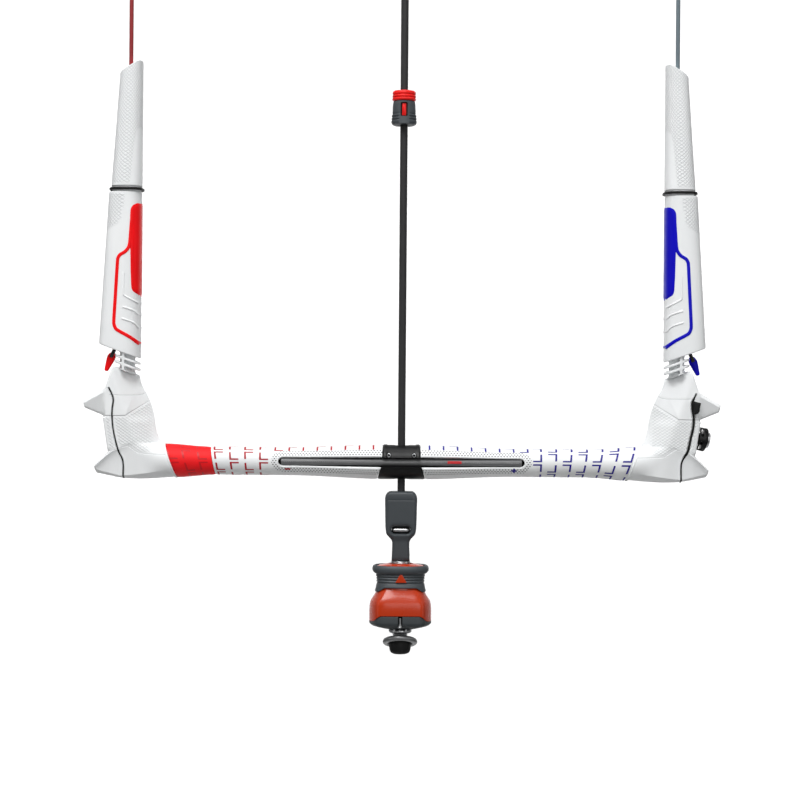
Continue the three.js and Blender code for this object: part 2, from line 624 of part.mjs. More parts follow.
function safetyBall() {
  const { low, high } = SAFETY;
  return turned([[0, low], [4.6, low], [7.2, low + 1.4], [8.4, low + 3.6], [8.6, high - 2.4], [8.1, high - 0.6],
    [7, high], [0, high]]);
}

const safetyLine = () => disc(1.2, -141.9, -114, 8);

function quickRelease() {
  const ringMesh = mesh("leash_ring", leashRing(), STEEL);
  ringMesh.position.set(0, SAFETY.ringY, SAFETY.ringZ);
  ringMesh.rotation.x = SAFETY.ringTilt;
  return group(
    mesh("release_base", releaseBase(), GREY_PLASTIC),
    mesh("release_barrel", releaseBarrel(), ALUMINIUM),
    mesh("release_handle", releaseHandle(), RED_PLASTIC),
    mesh("handle_grip", handleGrip(), GREY_PLASTIC),
    mesh("release_spring", releaseSpring(), STEEL),
    mesh("latch_tongue", latchTongue(), STEEL),
    mesh("loop_stud", loopStud(), STEEL),
    mesh("safety_line", safetyLine(), RED_LINE),
    mesh("safety_ball", safetyBall(), BLACK_RUBBER),
    ringMesh,
  );
}

function swivelHead() {
  return group(
    mesh("head_body", headBody(), GREY_PLASTIC),
    mesh("head_cap", headCap(), GREY_PLASTIC),
    mesh("head_pin", headPin(), STEEL),
    mesh("swivel_shaft", swivelShaft(), STEEL),
    mesh("swivel_washer", swivelWasher(), STEEL),
  );
}

function depowerLine() {
  const loop = mesh("front_line_loop", lineLoop(14, 26, 6.4, 5), BLACK_LINE);
  loop.position.z = LINE.top + GAP;
  return group(mesh("depower_line", straightCord(LINE.radius, LINE.bottom, LINE.top), BLACK_LINE), loop);
}

function adjuster() {
  return onKnobAxis(group(
    mesh("adjuster_wheel", adjusterWheel(), BLACK_PLASTIC),
    mesh("adjuster_spool", adjusterSpool(), BLACK_PLASTIC),
    mesh("power_button", powerButton(), STEEL),
  ));
}

// The cavity for the adjuster as a tool in the bar end's own frame.
function cavityTool() {
  const holder = onKnobAxis(new THREE.Object3D());
  holder.updateMatrix();
  return adjusterCavity().applyMatrix4(holder.matrix);
}

const assembly = group(
  bar(),
  barSide("left", -1, RED_PRINT, RED_LINE, [], 0.9),
  barSide("right", 1, BLUE_PRINT, GREY_LINE, [cavityTool()], 1.3),
  mesh("elastic_catch", elasticCatch(), BLACK_RUBBER),
  adjuster(),
  mesh("stopper_body", stopperBody(), GREY_PLASTIC),
  mesh("stopper_collar", stopperCollar(), RED_PLASTIC),
  swivelHead(),
  quickRelease(),
  depowerLine(),
);
assembly.position.z = BAR_HEIGHT;

export default group(assembly);
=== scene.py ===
"""Looks for the kitesurf control bar. Helper coordinates are in millimetres, with z = 0 at the bar's axis."""
import json
import math

import bmesh
import bpy
import numpy as np
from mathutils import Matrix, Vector
from mathutils.geometry import delaunay_2d_cdt


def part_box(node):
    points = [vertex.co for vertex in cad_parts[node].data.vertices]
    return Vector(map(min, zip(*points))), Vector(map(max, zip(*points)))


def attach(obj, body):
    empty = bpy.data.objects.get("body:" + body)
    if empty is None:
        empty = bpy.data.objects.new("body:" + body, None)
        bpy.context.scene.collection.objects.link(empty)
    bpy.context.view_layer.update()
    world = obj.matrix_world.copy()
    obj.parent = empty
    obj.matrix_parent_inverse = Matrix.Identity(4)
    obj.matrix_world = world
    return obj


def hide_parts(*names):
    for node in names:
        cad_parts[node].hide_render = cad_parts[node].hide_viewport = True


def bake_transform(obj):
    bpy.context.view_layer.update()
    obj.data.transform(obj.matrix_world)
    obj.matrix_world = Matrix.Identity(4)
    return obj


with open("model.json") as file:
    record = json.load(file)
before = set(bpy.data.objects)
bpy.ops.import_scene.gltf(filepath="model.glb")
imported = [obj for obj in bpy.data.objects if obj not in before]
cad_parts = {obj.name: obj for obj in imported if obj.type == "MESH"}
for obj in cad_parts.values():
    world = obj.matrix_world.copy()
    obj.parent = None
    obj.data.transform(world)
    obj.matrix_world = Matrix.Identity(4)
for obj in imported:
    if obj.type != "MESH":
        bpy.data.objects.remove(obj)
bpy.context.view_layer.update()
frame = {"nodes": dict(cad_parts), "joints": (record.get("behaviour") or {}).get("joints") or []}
PI = math.pi
BAR = sum(c.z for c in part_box("bar_tube")) / 2  # the bar axis's height in the frame, in metres
SIDES = {"left": -1, "right": 1}


def cad(node):
    """A CAD node's box in helper coordinates."""
    return [np.array([c.x, c.y, c.z - BAR]) * 1000 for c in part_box(node)]


def joint(name):
    """A joint's axis, and its place in helper coordinates."""
    found = next(j for j in frame["joints"] if j["name"] == name)
    return np.array(found["axis"]), (np.array(found["pos_m"]) - [0, 0, BAR]) * 1000


# ---- Camera ----
camera = bpy.data.objects.new("camera", bpy.data.cameras.new("camera"))
bpy.context.scene.collection.objects.link(camera)
bpy.context.scene.camera = camera
camera.data.sensor_width = 36
camera.data.lens = 81.6
camera.location = (-0.0015, -1.45, BAR + 0.0496)
camera.rotation_euler = (math.radians(90), math.radians(-0.45), 0)
camera.data.clip_start = 0.01


# ---- Small numeric helpers ----
def clamp(t):
    return np.clip(t, 0, 1)


def smooth(t):
    t = clamp(t)
    return t * t * (3 - 2 * t)


def lerp(a, b, t):
    return a + (b - a) * t


def polyline_distance(points, line, closed=False):
    """Distance from each point to a 2-D polyline."""
    p = np.asarray(points, float)[:, None, :]
    a = np.asarray(line, float)
    b = np.roll(a, -1, 0) if closed else a[1:]
    a = a if closed else a[:-1]
    d = b - a
    t = clamp(((p - a) * d).sum(2) / np.maximum((d * d).sum(1), 1e-12))
    return np.sqrt((((a + t[..., None] * d) - p) ** 2).sum(2).min(1))


def edge_normals(line, closed=False):
    d = np.roll(line, -1, 0) - np.roll(line, 1, 0) if closed else np.gradient(line, axis=0)
    return np.stack([d[:, 1], -d[:, 0]], 1) / np.maximum(np.linalg.norm(d, axis=1), 1e-9)[:, None]


def grid(xs, ys):
    return np.stack([g.ravel() for g in np.meshgrid(xs, ys)], 1)


def inside(points, outline):
    p, a = np.asarray(points, float), np.asarray(outline, float)
    b = np.roll(a, -1, 0)
    x, z = p[:, 0][:, None], p[:, 1][:, None]
    crosses = (a[:, 1] > z) != (b[:, 1] > z)
    with np.errstate(divide="ignore", invalid="ignore"):
        at = (b[:, 0] - a[:, 0]) * (z - a[:, 1]) / (b[:, 1] - a[:, 1]) + a[:, 0]
    return ((crosses & (x < at)).sum(1) % 2) == 1


def resample(line, step, closed=False):
    """Adds points along a polyline so that no step is longer than the given one."""
    pts = [np.array(p, float) for p in line]
    ends = pts[1:] + ([pts[0]] if closed else [])
    out = []
    for a, b in zip(pts, ends):
        n = max(1, math.ceil(np.linalg.norm(b - a) / step))
        out += [lerp(a, b, i / n) for i in range(n)]
    return np.array(out if closed else out + [pts[-1]])


def spline(points, per=8, closed=False):
    """A centripetal Catmull-Rom curve through points."""
    p = [np.array(q, float) for q in points]
    p = [p[-1]] + p + [p[0], p[1]] if closed else [2 * p[0] - p[1]] + p + [2 * p[-1] - p[-2]]
    out = []
    for i in range(1, len(p) - 2):
        a, b, c, d = p[i - 1 : i + 3]
        for k in range(per):
            t = k / per
            out.append(0.5 * (2 * b + (c - a) * t + (2 * a - 5 * b + 4 * c - d) * t**2
                              + (3 * b - a - 3 * c + d) * t**3))
    return np.array(out if closed else out + [p[-2]])


def corner(a, p, b, radius, per):
    """Points of a short arc that cuts the corner a-p-b."""
    a, b = a - p, b - p
    la, lb = np.linalg.norm(a), np.linalg.norm(b)
    r = min(radius, la * 0.45, lb * 0.45)
    s, e = p + a / la * r, p + b / lb * r
    return [(1 - t) ** 2 * s + 2 * t * (1 - t) * p + t * t * e for t in (k / per for k in range(per + 1))]


def rounded(points, radius, per=4):
    """A closed outline with its corners cut to short arcs."""
    pts, out = [np.array(q, float) for q in points], []
    for i, p in enumerate(pts):
        r = radius[i] if isinstance(radius, (list, tuple)) else radius
        out += corner(pts[i - 1], p, pts[(i + 1) % len(pts)], r, per)
    return np.array(out)


def rounded_profile(profile, radius, closed=False):
    """A turned profile with small radii at its inner points."""
    if closed:
        return rounded(profile, radius, 3)
    pts = [np.array(q, float) for q in profile]
    arcs = [corner(a, p, b, radius, 3) for a, p, b in zip(pts, pts[1:], pts[2:])]
    return [profile[0], *(q for arc in arcs for q in arc), profile[-1]]


def symmetric(right, radii):
    """A rounded closed outline from its right half, listed from the bottom up."""
    radii = radii if isinstance(radii, list) else [radii] * len(right)
    left = [(-x, z) for x, z in right[::-1]]
    return rounded(left[-1:] + right + left[:-1], radii[:1] + radii + radii[:0:-1])


# ---- Pieces ----
def add(name, verts, faces, material, body, replaces=(), slot=None, side=1, crease=38, points=None, corners=None,
        place=None):
    """A mesh from helper coordinates, riding on a body. points and corners are attributes for the materials, and
    place moves the vertices first."""
    co = np.asarray(place(verts) if place else verts, float) * [side, 1, 1] / 1000
    co[:, 2] += BAR
    mesh = bpy.data.meshes.new(name)
    mesh.from_pydata(co.tolist(), [], [list(f) for f in faces])
    mesh.validate()
    bm = bmesh.new()
    bm.from_mesh(mesh)
    bmesh.ops.recalc_face_normals(bm, faces=bm.faces)
    bm.to_mesh(mesh)
    bm.free()
    for key, values in (points or {}).items():
        values = np.asarray(values, np.float32)
        kind = "FLOAT" if values.ndim == 1 else "FLOAT_VECTOR"
        data = mesh.attributes.new(key, kind, "POINT").data
        data.foreach_set("value" if kind == "FLOAT" else "vector", values.ravel())
    if corners is not None:
        flat = [corners[(i, v)] for i, face in enumerate(mesh.polygons) for v in face.vertices]
        mesh.attributes.new("pat", "FLOAT_VECTOR", "CORNER").data.foreach_set("vector", np.ravel(flat))
    mesh.materials.append(material)
    mesh.shade_smooth()
    mesh.set_sharp_from_angle(angle=math.radians(crease))
    obj = bpy.data.objects.new(name, mesh)
    bpy.context.scene.collection.objects.link(obj)
    if body:
        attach(obj, body)
    if replaces:
        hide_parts(*replaces)
    return obj


def weld(obj, distance):
    """Joins vertices that meet, and drops loose ones."""
    bm = bmesh.new()
    bm.from_mesh(obj.data)
    bmesh.ops.delete(bm, geom=[v for v in bm.verts if not v.link_faces], context="VERTS")
    bmesh.ops.remove_doubles(bm, verts=bm.verts, dist=distance)
    bmesh.ops.recalc_face_normals(bm, faces=bm.faces)
    bm.to_mesh(obj.data)
    bm.free()


def paint(material, *nodes):
    """Gives CAD nodes that are seen as they are a material."""
    for node in nodes:
        slots = frame["nodes"][node].data.materials
        slots.clear()
        slots.append(material)


def carve(obj, *cutters):
    """Cuts closed meshes, given as (verts, faces), out of a piece."""
    for verts, faces in cutters:
        cutter = add("cutter", verts, faces, obj.data.materials[0], None)
        boolean = obj.modifiers.new("cut", "BOOLEAN")
        boolean.operation = "DIFFERENCE"
        boolean.solver = "EXACT"
        boolean.object = cutter
        bpy.context.view_layer.update()
        made = bpy.data.meshes.new_from_object(obj.evaluated_get(bpy.context.evaluated_depsgraph_get()))
        obj.modifiers.clear()
        obj.data = made
        bpy.data.objects.remove(cutter)
    obj.data.shade_smooth()
    obj.data.set_sharp_from_angle(angle=math.radians(34))


def rings(stack, caps=(True, True), wrap=False):
    """Faces that join rings of equal length into a skin."""
    n = len(stack[0])
    verts = np.concatenate(stack)
    faces = []
    for i in range(len(stack) if wrap else len(stack) - 1):
        a, b = i * n, ((i + 1) % len(stack)) * n
        faces += [(a + j, a + (j + 1) % n, b + (j + 1) % n, b + j) for j in range(n)]
    if not wrap and caps[0]:
        faces.append(tuple(range(n))[::-1])
    if not wrap and caps[1]:
        faces.append(tuple(range(len(verts) - n, len(verts))))
    return verts, faces


def turned(profile, n=48, squash=1, wrap=False, power=2.0, lift=None, facet=None):
    """A turned skin about the vertical axis, from (radius, z) points. squash flattens it front to back, and
    facet(z) says how far its section is an octagon."""
    a = (np.arange(n) + (0.5 if facet else 0)) * 2 * PI / n
    ca, sa = np.cos(a), np.sin(a)
    k = 2 / power
    round_c, round_s = np.sign(ca) * np.abs(ca) ** k, np.sign(sa) * np.abs(sa) ** k
    ac, as_ = np.abs(ca), np.abs(sa)
    far = (ac**18 + as_**18 + (0.93 * ac + 0.33 * as_) ** 18) ** (-1 / 18)
    stack = []
    for r, z in profile:
        r = max(r, 1e-3)
        f = facet(z) if facet else 0
        c, s = lerp(round_c, far * ca, f), lerp(round_s, far * sa, f)
        ring = np.stack([r * c, r * s * squash, np.full(n, float(z))], 1)
        if lift:
            ring[:, 2] += lift(ring[:, 0], z)
        stack.append(ring)
    return rings(stack, wrap=wrap)


def lathe(name, profile, n, material, body, replaces=(), slot=None, soften=None, wrap=False, side=1, crease=38,
          place=None, **shape):
    """A turned piece. soften rounds the corners of its profile, and wrap says that the profile is a closed one."""
    if soften:
        profile = rounded_profile(profile, soften, wrap)
    verts, faces = turned(profile, n, wrap=wrap, **shape)
    return add(name, verts, faces, material, body, replaces, slot, side, crease, place=place)


def tube(path, radius, sides=16, closed=False):
    """A round cord along points, with its corner pattern coordinates (mm round it, mm along it)."""
    p = np.asarray(path, float)
    n = len(p)
    ahead = np.roll(p, -1, 0) - np.roll(p, 1, 0) if closed else np.gradient(p, axis=0)
    ahead /= np.linalg.norm(ahead, axis=1)[:, None]
    up = np.array([0, 1.0, 0]) if abs(ahead[0][1]) < 0.9 else np.array([1.0, 0, 0])
    stack = []
    for i in range(n):
        side = np.cross(ahead[i], up)
        side /= np.linalg.norm(side)
        up = np.cross(side, ahead[i])
        a = np.arange(sides) * 2 * PI / sides
        r = radius[i] if np.ndim(radius) else radius
        stack.append(p[i] + r * (np.cos(a)[:, None] * side + np.sin(a)[:, None] * up))
    verts, faces = rings(stack, wrap=closed)
    length = np.concatenate([[0], np.cumsum(np.linalg.norm(np.diff(p, axis=0), axis=1))])
    pitch = 2 * PI * float(np.mean(radius)) / sides
    corners = {}
    for f, face in enumerate(faces):
        for v in face:
            i, j = divmod(v, sides)
            last = len(face) == 4 and j == 0 and f % sides == sides - 1
            along = length[-1] + length[1] if closed and f >= (n - 1) * sides and i == 0 else length[i]
            corners[(f, v)] = (pitch * (sides if last else j), along, 0)
    return verts, faces, corners


def cord(name, path, radius, sides, material, body, replaces=(), slot=None, side=1, closed=False):
    verts, faces, corners = tube(path, radius, sides, closed)
    return add(name, verts, faces, material, body, replaces, slot, side, corners=corners)


def cdt(outline, holes, extra):
    """Triangles inside an outline and outside its holes, through the extra points."""
    loops = [np.asarray(outline, float)] + [np.asarray(h, float) for h in holes]
    pts, edges, start = [], [], 0
    for loop in loops:
        pts += loop.tolist()
        edges += [(start + i, start + (i + 1) % len(loop)) for i in range(len(loop))]
        start += len(loop)
    pts += np.asarray(extra, float).reshape(-1, 2).tolist()
    out = delaunay_2d_cdt([Vector(p) for p in pts], edges, [], 0, 1e-5)
    verts = np.array([tuple(v) for v in out[0]])
    faces = np.array([f for f in out[2] if len(f) == 3])
    middle = verts[faces].mean(1)
    keep = inside(middle, loops[0])
    for h in loops[1:]:
        keep &= ~inside(middle, h)
    return verts, faces[keep]


def border(faces):
    """Directed edges with a face on one side only."""
    seen = {(f[i], f[(i + 1) % 3]) for f in faces for i in range(3)}
    return [(a, b) for a, b in seen if (b, a) not in seen]


def interior(outline, holes, spacing, rim, lines=()):
    """Points for a surface: rows just inside each edge, either side of each line, and an even grid."""
    loops = [resample(loop, 1.1, True) for loop in (outline, *holes)]
    found = []
    for loop in loops:
        for depth in [rim * k for k in (0.08, 0.3, 0.62, 1.0)]:
            for sign in (1, -1):
                pts = loop + sign * depth * edge_normals(loop, True)
                found.append(pts[polyline_distance(pts, loop, True) > depth * 0.93])
    for line in lines:
        dense = resample(line, 0.8)
        found += [dense + k * edge_normals(dense) for k in (-0.9, -0.45, 0, 0.45, 0.9)]
    low, high = loops[0].min(0), loops[0].max(0)
    gx, gz = np.meshgrid(np.arange(low[0], high[0], spacing), np.arange(low[1], high[1], spacing * 0.87))
    gx[1::2] += spacing / 2
    even = np.stack([gx.ravel(), gz.ravel()], 1)
    clear = np.min([polyline_distance(even, loop, True) for loop in loops], 0) > rim + spacing * 0.4
    found.append(even[clear])
    pts = np.concatenate(found)
    keep = inside(pts, outline)
    for h in holes:
        keep &= ~inside(pts, h)
    return pts[keep]


def rim_drop(edge, rim):
    """How far a rounded rim has fallen at a distance from the edge."""
    away = rim - np.minimum(edge, rim)
    return rim - np.sqrt(np.maximum(rim * rim - away * away, 0))


def plate(name, outline, half, rim, material, body, depth=None, lines=(), holes=(), spacing=2.2, tex=None, y=0.0,
          seam=None, **options):
    """A thick piece with a front and back face over an (x, z) outline. half is its half depth, or depth(points,
    edge distance) gives it everywhere. Its edges are rounded by rim."""
    dense = resample(outline, 1.1, True)
    dense_holes = [resample(h, 0.8, True) for h in holes]
    verts, faces = cdt(dense, dense_holes, interior(dense, dense_holes, spacing, rim, lines))
    edge = np.min([polyline_distance(verts, loop, True) for loop in [dense] + dense_holes], 0)
    h = (depth(verts, edge) if depth else np.full(len(verts), float(half))) - rim_drop(edge, rim)
    h = np.maximum(h, 0.05)
    n = len(verts)
    front, back = (np.insert(verts, 1, y + way * h, axis=1) for way in (-1, 1))
    skin = [tuple(f) for f in faces] + [tuple(n + f[::-1]) for f in faces]
    skin += [(b, a, n + a, n + b) for a, b in border(faces)]
    points = {"tex": np.tile(tex(verts) if tex else np.zeros(n), 2),
              "line": np.tile(seam(verts) if seam else np.zeros(n), 2),
              "pat": np.tile(np.insert(verts, 2, 0, axis=1), (2, 1))}
    return add(name, np.concatenate([front, back]), skin, material, body, points=points, **options)


# ---- Materials ----
class Nodes:
    """A short way to write a material's nodes."""

    def __init__(self, name, color, roughness, metallic=0.0, **shader):
        self.material = bpy.data.materials.new(name)
        self.material.use_nodes = True
        self.tree = self.material.node_tree
        self.shader = self.tree.nodes["Principled BSDF"]
        self.color = (*color, 1)
        self.shader.inputs["Base Color"].default_value = self.color
        self.shader.inputs["Roughness"].default_value = roughness
        self.shader.inputs["Metallic"].default_value = metallic
        for key, value in shader.items():
            self.shader.inputs[key.replace("_", " ")].default_value = value
        self.place = self.node("ShaderNodeTexCoord").outputs["Object"]

    def node(self, kind, inputs=None, **properties):
        made = self.tree.nodes.new(kind)
        for key, value in properties.items():
            setattr(made, key, value)
        for key, value in (inputs or {}).items():
            if isinstance(value, bpy.types.NodeSocket):
                self.tree.links.new(value, made.inputs[key])
            else:
                made.inputs[key].default_value = value
        return made

    def math(self, operation, *values):
        return self.node("ShaderNodeMath", dict(enumerate(values)), operation=operation).outputs[0]

    def noise(self, scale, detail=3.0, roughness=0.55):
        inputs = {"Vector": self.place, "Scale": scale, "Detail": detail, "Roughness": roughness}
        return self.node("ShaderNodeTexNoise", inputs).outputs["Fac"]

    def attribute(self, name, output="Fac"):
        return self.node("ShaderNodeAttribute", attribute_name=name).outputs[output]

    def ramp(self, value, low, high, start=0.0, end=1.0):
        inputs = {"Value": value, "From Min": low, "From Max": high, "To Min": start, "To Max": end}
        return self.node("ShaderNodeMapRange", inputs).outputs["Result"]

    def tint(self, fac, other, amount=1.0):
        """Mixes the present colour towards another by a factor socket."""
        mix = self.node("ShaderNodeMix", data_type="RGBA")
        fac = self.math("MULTIPLY", fac, amount)
        self.tree.links.new(fac, mix.inputs["Factor"])
        source = self.shader.inputs["Base Color"]
        if source.links:
            self.tree.links.new(source.links[0].from_socket, mix.inputs["A"])
        else:
            mix.inputs["A"].default_value = self.color
        mix.inputs["B"].default_value = (*other, 1)
        self.tree.links.new(mix.outputs["Result"], source)

    def rough(self, fac, low, high):
        self.tree.links.new(self.ramp(fac, 0.3, 0.7, low, high), self.shader.inputs["Roughness"])

    def bump(self, height, distance, strength=1.0):
        """Adds a bump, in millimetres, over any that is there already."""
        inputs = {"Height": height, "Distance": distance / 1000, "Strength": strength}
        source = self.shader.inputs["Normal"]
        if source.links:
            inputs["Normal"] = source.links[0].from_socket
        self.tree.links.new(self.node("ShaderNodeBump", inputs).outputs["Normal"], source)

    def diamonds(self, pitch, angle, weak):
        """Raised ribs between deep grooves that rise outwards and weaker ones that cross them."""
        split = self.node("ShaderNodeSeparateXYZ", {0: self.attribute("pat", "Vector")})
        c, s = math.cos(math.radians(angle)) / pitch, math.sin(math.radians(angle)) / pitch
        u, v = self.math("MULTIPLY", split.outputs[0], s), self.math("MULTIPLY", split.outputs[1], c)
        rows = [self.math("PINGPONG", self.math(op, u, v), 0.5) for op in ("ADD", "SUBTRACT")]
        crossing = self.ramp(rows[0], 0.02, 0.22, weak, 1.0)
        return self.math("MULTIPLY", crossing, self.ramp(rows[1], 0.02, 0.24))


def moulded(name, color, roughness, grain=0.05, **shader):
    """Moulded plastic or rubber: a fine grain, uneven gloss and faint handling marks."""
    m = Nodes(name, color, roughness, **shader)
    broad = m.noise(38, 4)
    m.rough(broad, roughness - 0.06, roughness + 0.07)
    m.tint(m.ramp(broad, 0.45, 0.75), [c * 0.82 for c in color], 0.5)
    m.bump(m.noise(1500, 2), grain, 0.6)
    return m.material


def foam(name, color, shade, gloss=0.35, angle=35.0, weak=0.3):
    """Moulded foam: closed cells, a little unevenness and the diamond texture where the mesh asks for it, with painted
    shade in its grooves.
    """
    m = Nodes(name, color, 0.55)
    m.tint(m.ramp(m.noise(26, 4), 0.4, 0.75), shade, 0.35)
    tex = m.attribute("tex")
    diamonds = m.diamonds(1.95, angle, weak)
    # Painted shade: the diamond grooves are tinted darker.
    groove = m.math("MULTIPLY", m.math("SUBTRACT", 1.0, diamonds), tex)
    m.tint(groove, [c * 0.75 for c in shade], 0.5)
    m.tint(m.attribute("line"), [c * 0.6 for c in shade], 0.6)
    m.bump(m.noise(900, 3), 0.05, 0.7)
    m.bump(m.math("MULTIPLY", diamonds, tex), 0.3, 0.8)
    m.shader.inputs["Specular IOR Level"].default_value = gloss
    return m.material


PORE_PITCH, PORE_ROW = 2.4, 1.6


def grip_foam(name, color, shade):
    """The grip's foam, with staggered rows of fine pores where the mesh asks for them; the pores carry painted shade.
    """
    m = Nodes(name, color, 0.5)
    m.tint(m.ramp(m.noise(30, 4), 0.4, 0.75), shade, 0.3)
    split = m.node("ShaderNodeSeparateXYZ", {0: m.attribute("pat", "Vector")})
    rows = m.math("DIVIDE", split.outputs[1], PORE_ROW)
    shift = m.math("MULTIPLY", m.math("FLOOR", rows), PORE_PITCH / 2)
    across = m.math("PINGPONG", m.math("DIVIDE", m.math("ADD", split.outputs[0], shift), PORE_PITCH), 0.5)
    down = m.math("PINGPONG", rows, 0.5)
    dot = m.math("MULTIPLY", m.ramp(across, 0.24, 0.32), m.ramp(down, 0.18, 0.28))
    dot = m.math("MULTIPLY", dot, m.attribute("tex"))
    # Painted shade: the pores are tinted almost black.
    m.tint(dot, [c * 0.14 for c in shade], 1.0)
    m.bump(m.noise(1100, 3), 0.05, 0.7)
    m.bump(m.math("SUBTRACT", 1.0, dot), 0.3, 0.7)
    return m.material


def printed(name, color, gloss=0.3):
    m = Nodes(name, color, 0.38, Specular_IOR_Level=gloss)
    m.tint(m.ramp(m.noise(60, 4), 0.45, 0.8), [c * 0.7 for c in color], 0.4)
    m.rough(m.noise(200), 0.32, 0.46)
    m.bump(m.noise(1100, 3), 0.04, 0.6)
    return m.material


def braided(name, color, dark, pitch):
    """A braided sheath: two crossing sets of strands, with painted shade in the gaps between them."""
    m = Nodes(name, color, 0.62)
    split = m.node("ShaderNodeSeparateXYZ", {0: m.attribute("pat", "Vector")})
    u, v = m.math("DIVIDE", split.outputs[0], pitch), m.math("DIVIDE", split.outputs[1], pitch * 1.5)
    strands = [m.math("PINGPONG", m.math(op, u, v), 0.5) for op in ("ADD", "SUBTRACT")]
    weave = m.ramp(m.math("MINIMUM", *strands), 0.03, 0.3)
    # Painted shade: the gaps between the strands are tinted dark.
    m.tint(m.math("SUBTRACT", 1.0, weave), dark, 0.8)
    m.tint(m.ramp(m.noise(150), 0.45, 0.7), dark, 0.3)
    m.bump(weave, 0.14, 0.8)
    m.bump(m.noise(2600, 2), 0.05, 0.5)
    return m.material


def brushed(name, color, roughness):
    m = Nodes(name, color, roughness, 1.0)
    stretched = m.node("ShaderNodeMapping", {"Vector": m.place, "Scale": (60, 60, 2500)})
    lines = m.node("ShaderNodeTexNoise", {"Vector": stretched.outputs[0], "Scale": 1.0, "Detail": 3.0})
    m.rough(lines.outputs["Fac"], roughness - 0.07, roughness + 0.1)
    m.tint(m.ramp(m.noise(90), 0.4, 0.75), [c * 0.72 for c in color], 0.6)
    m.bump(lines.outputs["Fac"], 0.02, 0.5)
    return m.material


PALE = ((0.89, 0.905, 0.91), (0.76, 0.785, 0.8))
WHITE = foam("white_foam", *PALE)
FLOAT_WHITE = foam("float_foam", *PALE, angle=48.0, weak=0.0)
GRIP_WHITE = grip_foam("white_grip_foam", *PALE)
RED_BAND = foam("red_foam", (0.93, 0.01, 0.014), (0.6, 0.008, 0.012), 0.22)
RED_DEEP = printed("red_deep", (0.62, 0.007, 0.012))
RED_PRINT = printed("red_print", (0.95, 0.005, 0.008), 0.14)
BLUE_PRINT = printed("blue_print", (0.004, 0.002, 0.5), 0.14)
RED_SHELL = moulded("red_shell", (0.5, 0.036, 0.004), 0.26, 0.01, Coat_Weight=0.12, Coat_Roughness=0.1,
                    Specular_IOR_Level=0.35)
RED_COLLAR = moulded("red_collar", (0.92, 0.014, 0.012), 0.36, 0.03, Specular_IOR_Level=0.3)
RED_MARK = printed("red_mark", (0.42, 0.012, 0.022))
BLUE_MARK = printed("blue_mark", (0.02, 0.012, 0.25))
DULL_STEEL = brushed("dull_steel", (0.3, 0.305, 0.31), 0.42)
GREY_RUBBER = moulded("grey_rubber", (0.052, 0.062, 0.07), 0.55, 0.08)
GREY_SHELL = moulded("grey_shell", (0.047, 0.055, 0.062), 0.46, 0.06)
DARK_SHELL = moulded("dark_shell", (0.03, 0.037, 0.041), 0.5, 0.06)
BLACK_SHELL = moulded("black_shell", (0.004, 0.004, 0.0045), 0.36, 0.02, Specular_IOR_Level=0.26)
BLACK_RUBBER = moulded("black_rubber", (0.004, 0.004, 0.0045), 0.5, 0.03, Specular_IOR_Level=0.3)
# Near-black; besides real black parts it is used as painted shade in the slot, the windows and the screw sockets.
BLACK_CORE = moulded("black_core", (0.003, 0.003, 0.003), 0.6, 0.01, Specular_IOR_Level=0.25)
STEEL = brushed("steel", (0.55, 0.56, 0.57), 0.28)
ROD = moulded("rod", (0.14, 0.142, 0.145), 0.38, 0.02)
BLACK_CORD = braided("black_cord", (0.021, 0.021, 0.022), (0.007, 0.007, 0.008), 1.6)
RED_CORD = braided("red_cord", (0.4, 0.018, 0.022), (0.16, 0.008, 0.01), 1.1)
GREY_CORD = braided("grey_cord", (0.2, 0.26, 0.29), (0.08, 0.11, 0.13), 1.1)
INDICATOR_RED = printed("indicator_red", (0.6, 0.03, 0.035))
PRINT = {"left": RED_PRINT, "right": BLUE_PRINT}
PRINT_SLOT = {"left": "red_print", "right": "blue_print"}
MARK = {"left": RED_MARK, "right": BLUE_MARK}
LEADER = {"left": RED_CORD, "right": GREY_CORD}

# ---- Lines: the depower line and the two leaders, each taut from its exit to its loop ----
LINE_TOP = cad("depower_line")[1][2]
HEAD_TOP = cad("head_cap")[1][2]
LEADER_X = sum(c[0] for c in cad("right_leader_line")) / 2
LEADER_TOP = cad("right_leader_line")[1][2]
FLOAT_TOP = cad("right_float_upper")[1][2]


def loop_piece(name, x, top, width, height, hole, material, body, node, slot):
    """A sewn loop at the end of a line: a folded tail, whipped with thread below the eye."""
    z0 = top + 0.2
    half = np.linspace(0.12, PI - 0.02, 12)
    eye = [(x + side * hole / 2 * math.sin(a), 0, z0 + height * 0.62 - hole * 1.05 * math.cos(a))
           for side, turn in ((1, half), (-1, half[::-1])) for a in turn]
    r = (width - hole) / 4
    low = [(x + r * 0.9, 0, z0 + 0.1), (x + r * 0.95, 0, z0 + height * 0.16)]
    path = spline(low + eye + [(x - p[0] + x, 0, p[2]) for p in low[::-1]], 3)
    loop = cord(name, path, r, 12, material, body, (node,), slot)
    wrap = [(x + r * 2.15 * math.cos(a) * 0.96, r * 1.12 * math.sin(a), z0 + 0.5 + (height * 0.2) * a / (14 * PI))
            for a in np.linspace(0, 14 * PI, 220)]
    verts, faces, _ = tube(wrap, height * 0.2 / 14 * 0.62, 6)
    thread = add(name + "_whipping", verts, faces, BLACK_RUBBER, body, slot=slot)
    return [loop, thread]


def line_piece(name, x, low, top, radius, material, body, node, slot):
    path = [(x, 0, z) for z in np.linspace(low, top, 40)]
    obj = cord(name, path, radius, 20, material, body, (node,), slot)


